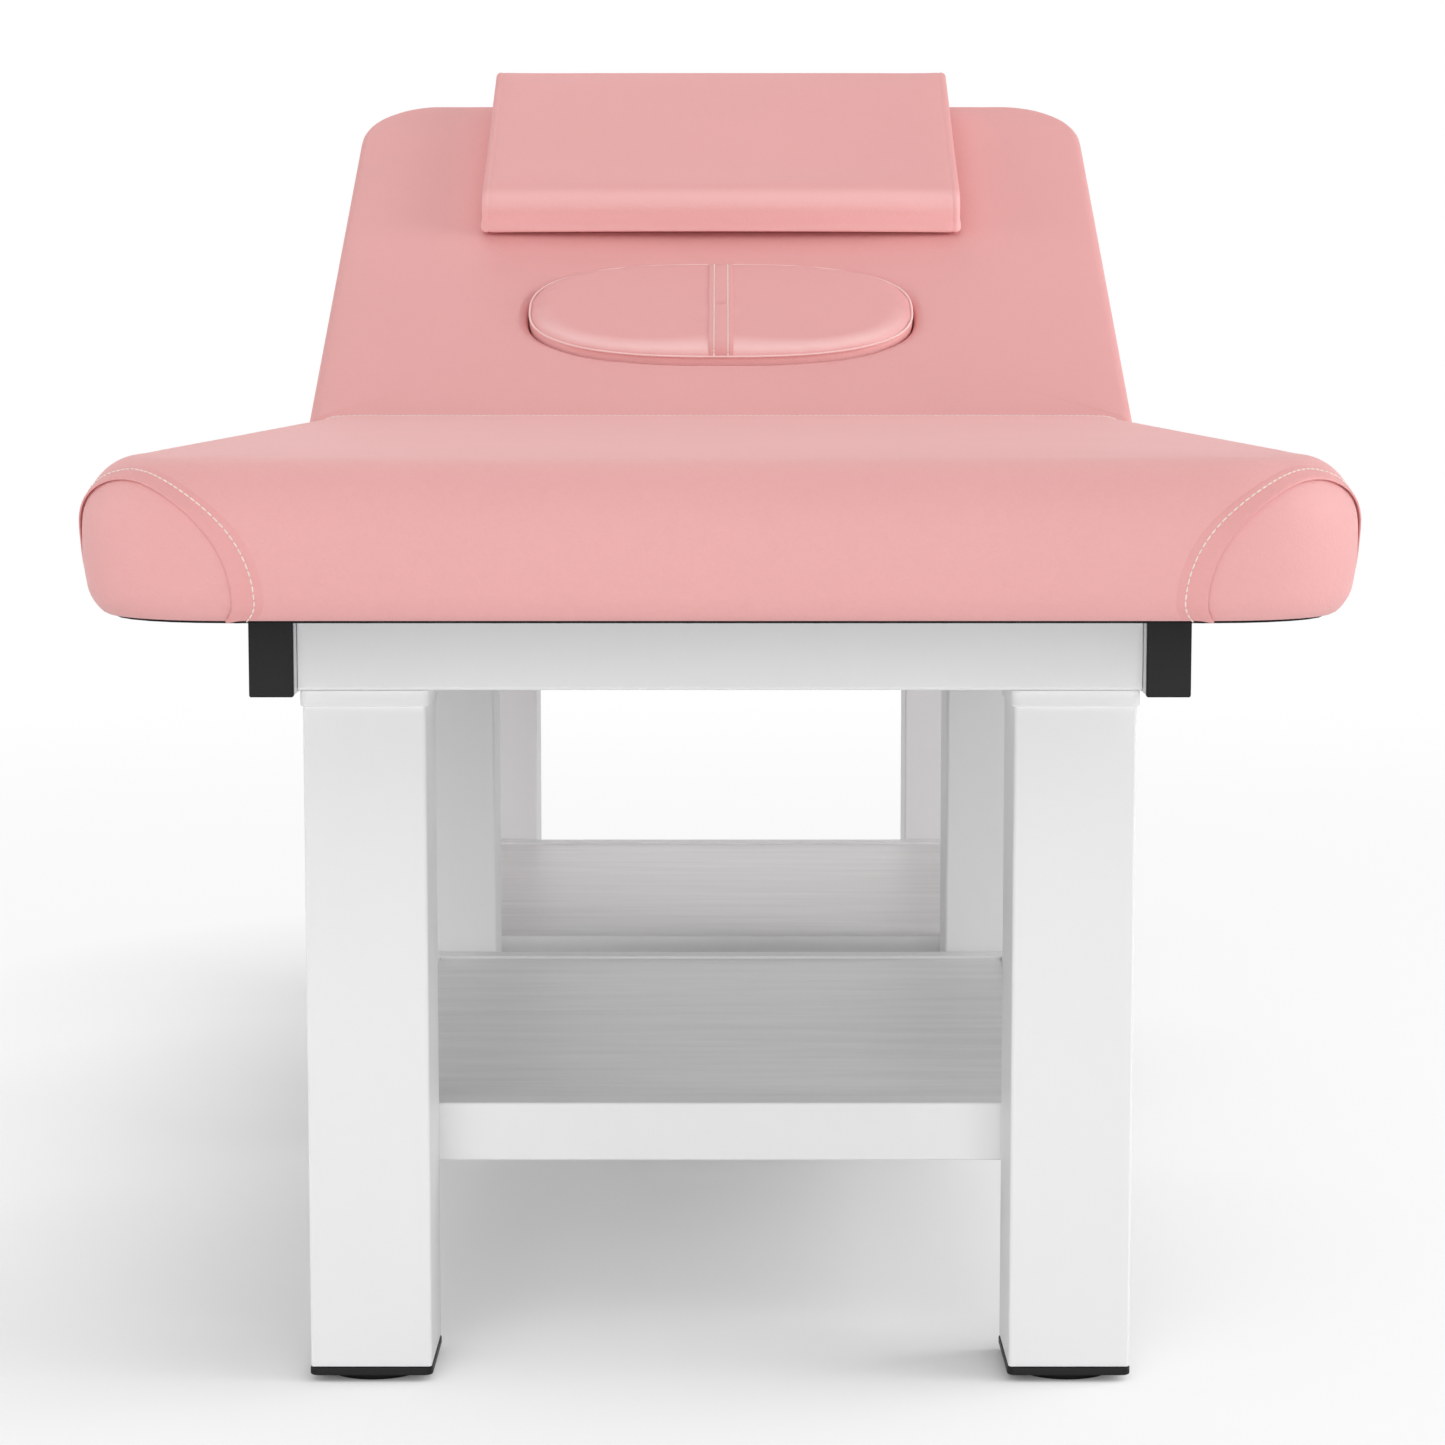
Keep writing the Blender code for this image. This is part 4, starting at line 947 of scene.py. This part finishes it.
def cornerHem(sideName, surface):
    values = hemSettings
    folds = archPoints(values["edgeHalf"], values["edgeRise"])
    stitches = archPoints(values["stitchHalf"], values["stitchRise"])
    rings = []
    for fold, sewn in zip(folds, stitches):
        onSide = min(1.0, max(0.0, fold[0] / values["edgeHalf"] * 2))
        onFront = min(1.0, max(0.0, -fold[0] / values["edgeHalf"] * 2))
        bulge = (values["sideLift"] - 1) * onSide + (values["frontLift"] - 1) * onFront
        ring = []
        for share, lift in values["profile"]:
            along, height = between(fold, sewn, share)
            spot, normal = cornerSpot(sides[sideName], along, max(values["lowest"], height))
            raised = lift * (1 + bulge * max(0.0, 1 - abs(share) * 2))
            ring.append(settle(surface, spot, normal, raised / 1000))
        rings.append(ring)
    hem = skin(f"corner_hem_{sideName}", rings)
    hem.data.set_sharp_from_angle(angle=radians(values["sharpAngle"]))
    finishPiece(hem, "pink_leather", "bed_frame")


def cornerStitchPath(sideName, surface):
    arch = archPoints(hemSettings["stitchHalf"], hemSettings["stitchRise"])
    spots = [cornerSpot(sides[sideName], along, height) for along, height in arch]
    return [settle(surface, spot, normal, threadSettings["seatLift"]) for spot, normal in spots]


def rearStitchPath(surface):
    values = threadSettings
    y = seatRearAt(cover["edgeTop"]) - values["rearPlace"]
    topWidth, topHeight = cover["seatTop"]
    middle = cover["edgeTop"] - topHeight
    # place across, height and the way that the cover faces, from one lower edge to the middle
    half = [(cover["halfWidth"], middle * values["rearLow"], 1, 0)]
    for step in range(values["rearRoundSteps"] + 1):
        angle = pi / 2 * step / values["rearRoundSteps"]
        half.append((
            cover["halfWidth"] - topWidth * (1 - cos(angle)), middle + topHeight * sin(angle),
            cos(angle) * topHeight, sin(angle) * topWidth))
    flatSteps = round(values["rearFlat"] / values["rearFlatStep"])
    half += [(values["rearFlat"] - values["rearFlatStep"] * step, cover["edgeTop"], 0, 1) for step in range(flatSteps)]
    path = []
    for x, z, u, w in half + [(-x, z, -u, w) for x, z, u, w in reversed(half)]:
        spot, normal = Vector((x, y, cover["boardZ"] + z)), Vector((u, 0, w)).normalized()
        path.append(settle(surface, spot, normal, values["rearLift"]))
    return path


# a spot on the plug's dome, moved onto its padded surface and lifted off it
def domeSpot(surface, x, y, lift):
    return settle(surface, onFace @ Vector((x, y, cushionTop + domeAt(x, y))), faceUp, lift)


def plugStitchPaths(surface):
    values = threadSettings
    reach = plugSettings["rimHalfWidth"] - plugSettings["crease"] - values["plugEndGap"]
    ways = [reach * (2 * step / values["plugSteps"] - 1) for step in range(values["plugSteps"] + 1)]
    half = values["plugHalf"]
    return [[domeSpot(surface, x, y, values["plugLift"]) for y in ways] for x in (-half, half)]


def plugBand(surface):
    values = bandSettings
    reach = plugSettings["rimHalfWidth"] - plugSettings["crease"] - values["endGap"]
    ways = [reach * (step * 2 / values["steps"] - 1) for step in range(values["steps"] + 1)]
    rings = [[domeSpot(surface, x / 1000, y, lift / 1000) for x, lift in values["profile"]] for y in ways]
    band = skin("plug_band", rings)
    band.data.set_sharp_from_angle(angle=radians(values["sharpAngle"]))
    finishPiece(band, "pink_leather", "face_plug")


def plugPiping():
    values, count = bandSettings, bandSettings["pipeSteps"]
    inset, radius = values["pipeInset"], values["pipeRadius"]
    length, width = plugSettings["rimHalfLength"] - inset, plugSettings["rimHalfWidth"] - inset
    spots = [Vector((*ovalAt(2 * pi * step / count, length, width), 0)) for step in range(count)]
    height = cushionTop + plugSettings["rimHeight"] + plugSettings["rimRadius"] * values["pipeHeight"]
    rings = []
    for index, spot in enumerate(spots):
        onward = (spots[(index + 1) % count] - spots[index - 1]).normalized()
        outward = Vector((onward.y, -onward.x, 0))
        ring = []
        for step in range(values["pipeRound"]):
            angle = 2 * pi * step / values["pipeRound"]
            point = spot + outward * radius * cos(angle)
            ring.append(onFace @ Vector((point.x, point.y, height + radius * sin(angle))))
        rings.append(ring)
    finishPiece(skin("plug_piping", rings, wrap=True), "piping_painted_highlight", "face_plug")


# Repeats laid by Geometry Nodes: stitches, staples and bolts

def startTree(name, inputs):
    tree = bpy.data.node_groups.new(name, "GeometryNodeTree")
    for label, kind in inputs.items():
        tree.interface.new_socket(name=label, in_out="INPUT", socket_type=f"NodeSocket{kind}")
    tree.interface.new_socket(name="Laid", in_out="OUTPUT", socket_type="NodeSocketGeometry")
    return tree, place(tree, "NodeGroupInput").outputs


def layEach(tree, points, item, aim, material):
    turn = place(tree, "FunctionNodeAlignRotationToVector", {"Vector": aim}, axis="Z")
    laid = place(tree, "GeometryNodeInstanceOnPoints", {
        "Points": points, "Instance": item, "Rotation": turn.outputs[0]})
    solid = place(tree, "GeometryNodeRealizeInstances", {0: laid.outputs[0]})
    coloured = place(tree, "GeometryNodeSetMaterial", {0: solid.outputs[0], "Material": material})
    place(tree, "NodeGroupOutput", {0: coloured.outputs[0]})
    return tree


def makeStitchTree():
    tree, given = startTree("stitches", {
        "Path": "Geometry", "Pitch": "Float", "Stitch Length": "Float", "Thread Radius": "Float",
        "Thread": "Material"})
    curve = place(tree, "GeometryNodeMeshToCurve", {"Mesh": given["Path"]})
    spaced = place(tree, "GeometryNodeResampleCurve", {
        "Curve": curve.outputs[0], "Length": given["Pitch"]}, mode="LENGTH")
    bead = place(tree, "GeometryNodeMeshUVSphere", {
        "Segments": threadSettings["sphereSegments"], "Rings": threadSettings["sphereRings"], "Radius": 1.0})
    size = place(tree, "ShaderNodeCombineXYZ", {
        "X": given["Thread Radius"], "Y": given["Thread Radius"],
        "Z": compute(tree, "MULTIPLY", given["Stitch Length"], 0.5)})
    drawn = place(tree, "GeometryNodeTransform", {"Geometry": bead.outputs[0], "Scale": size.outputs[0]})
    tangent = place(tree, "GeometryNodeInputTangent").outputs[0]
    return layEach(tree, spaced.outputs[0], drawn.outputs[0], tangent, given["Thread"])


# material inputs take the finish that the piece has
def grow(name, tree, points, edges, values, finish, body):
    lines = bpy.data.meshes.new(name)
    lines.from_pydata(points, edges, [])
    guide = addObject(name, lines)
    laid = guide.modifiers.new("laid", "NODES")
    laid.node_group = tree
    for socket in tree.interface.items_tree:
        if socket.socket_type == "NodeSocketMaterial":
            laid[socket.identifier] = finishes[finish]
        elif socket.in_out == "INPUT" and socket.name in values:
            laid[socket.identifier] = values[socket.name]
    mesh = baked(guide)
    guide.modifiers.remove(laid)
    bpy.data.objects.remove(guide)
    return finishPiece(addObject(name, mesh), finish, body)


def sew(name, paths, sizes, body, finish="sewing_thread"):
    points, edges = [], []
    for path in paths:
        edges += [(len(points) + index, len(points) + index + 1) for index in range(len(path) - 1)]
        points += path
    grow(name, stitchTree, points, edges, sizes, finish, body).data.shade_smooth()


# staples hold the leather on the boards, and bolts the hinges
fastenerSettings = {
    "staples": {"Pitch": 0.034, "Stitch Length": 0.011, "Thread Radius": 0.00065},
    "bolts": {"Head Radius": 0.0046, "Head Height": 0.0028, "Washer Radius": 0.0066, "Washer Height": 0.0010},
    "stapleInset": 0.028, "stapleLift": 0.0002, "stapleCounts": (20, 40, 8),
    "headSides": 6, "washerSides": 24, "plate": 0.0033, "baseX": 0.2362, "flangeX": 0.2225,
    "basePlaces": (-0.055, 0.055), "baseDrop": 0.0245, "flangePlaces": (0.042, 0.086, 0.130),
}


# round the board's edge, apart from its straight end at the hinge
def staplePath(low, high, lowCorner, highCorner, hingeEnd, toWorld):
    inset = fastenerSettings["stapleInset"]
    ring = ringAt(inset, low + inset, high - inset, lowCorner, highCorner, fastenerSettings["stapleCounts"])
    edge = (low + inset) if hingeEnd == "low" else (high - inset)
    kept = [abs(y - edge) > 0.001 for _, y in ring]
    first = next(index for index in range(len(ring)) if kept[index] and not kept[index - 1])
    path = [spot for spot, keep in zip(ring[first:] + ring[:first], kept[first:] + kept[:first]) if keep]
    return [toWorld @ Vector((x, y, -fastenerSettings["stapleLift"])) for x, y in path]


def makeBoltTree():
    values = fastenerSettings["bolts"]
    tree, given = startTree("bolts", {
        "Places": "Geometry", **{label: "Float" for label in values}, "Aim": "Vector", "Steel": "Material"})
    both = place(tree, "GeometryNodeJoinGeometry")
    for part, below in (("Head", values["Washer Height"]), ("Washer", 0.0)):
        disc = place(tree, "GeometryNodeMeshCylinder", {
            "Vertices": fastenerSettings[f"{part.lower()}Sides"], "Radius": given[f"{part} Radius"],
            "Depth": given[f"{part} Height"]})
        raised = place(tree, "GeometryNodeTransform", {
            "Geometry": disc.outputs[0], "Translation": (0, 0, below + values[f"{part} Height"] / 2)})
        tree.links.new(raised.outputs[0], both.inputs[0])
    return layEach(tree, given["Places"], both.outputs[0], given["Aim"], given["Steel"])


def addFasteners():
    values, corner = fastenerSettings, cover["squareCorner"]
    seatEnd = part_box("seat_board")[1].y + cover["boardInset"]
    seatPath = staplePath(cover["seatFront"], seatEnd, cover["seatCorner"], corner, "high", onBase)
    backPath = staplePath(0, cover["backLength"], corner, cover["backCorner"], "low", onBack)
    sew("seat_staples", [seatPath], values["staples"], "bed_frame", "hinge_zinc")
    sew("backrest_staples", [backPath], values["staples"], "backrest", "hinge_zinc")
    bolts = makeBoltTree()

    def fasten(name, spots, aim, body):
        grow(name, bolts, spots, [], {**values["bolts"], "Aim": tuple(aim)}, "hinge_zinc", body)

    fasten("backrest_bolts", [
        onBack @ Vector((side * values["flangeX"], along, -values["plate"]))
        for side in sides.values() for along in values["flangePlaces"]], -faceUp, "backrest")
    for sideName, side in sides.items():
        fasten(f"hinge_bolts_{sideName}", [
            (side * values["baseX"], cover["hingeY"] + along, cover["hingeZ"] - values["baseDrop"])
            for along in values["basePlaces"]], (-side, 0, 0), "bed_frame")


seatSurface = coverSurface(seat)
plugSurface = coverSurface(plug)
for sideName in sides:
    cornerHem(sideName, seatSurface)
plugBand(plugSurface)
plugPiping()
stitchTree = makeStitchTree()
cornerPaths = [cornerStitchPath(sideName, seatSurface) for sideName in sides]
sew("corner_stitches", cornerPaths, threadSettings["seat"], "bed_frame")
sew("seat_rear_stitches", [rearStitchPath(seatSurface)], threadSettings["rear"], "bed_frame")
sew("plug_stitches", plugStitchPaths(plugSurface), threadSettings["plug"], "face_plug")
addFasteners()
print("hems, threads and fasteners made")
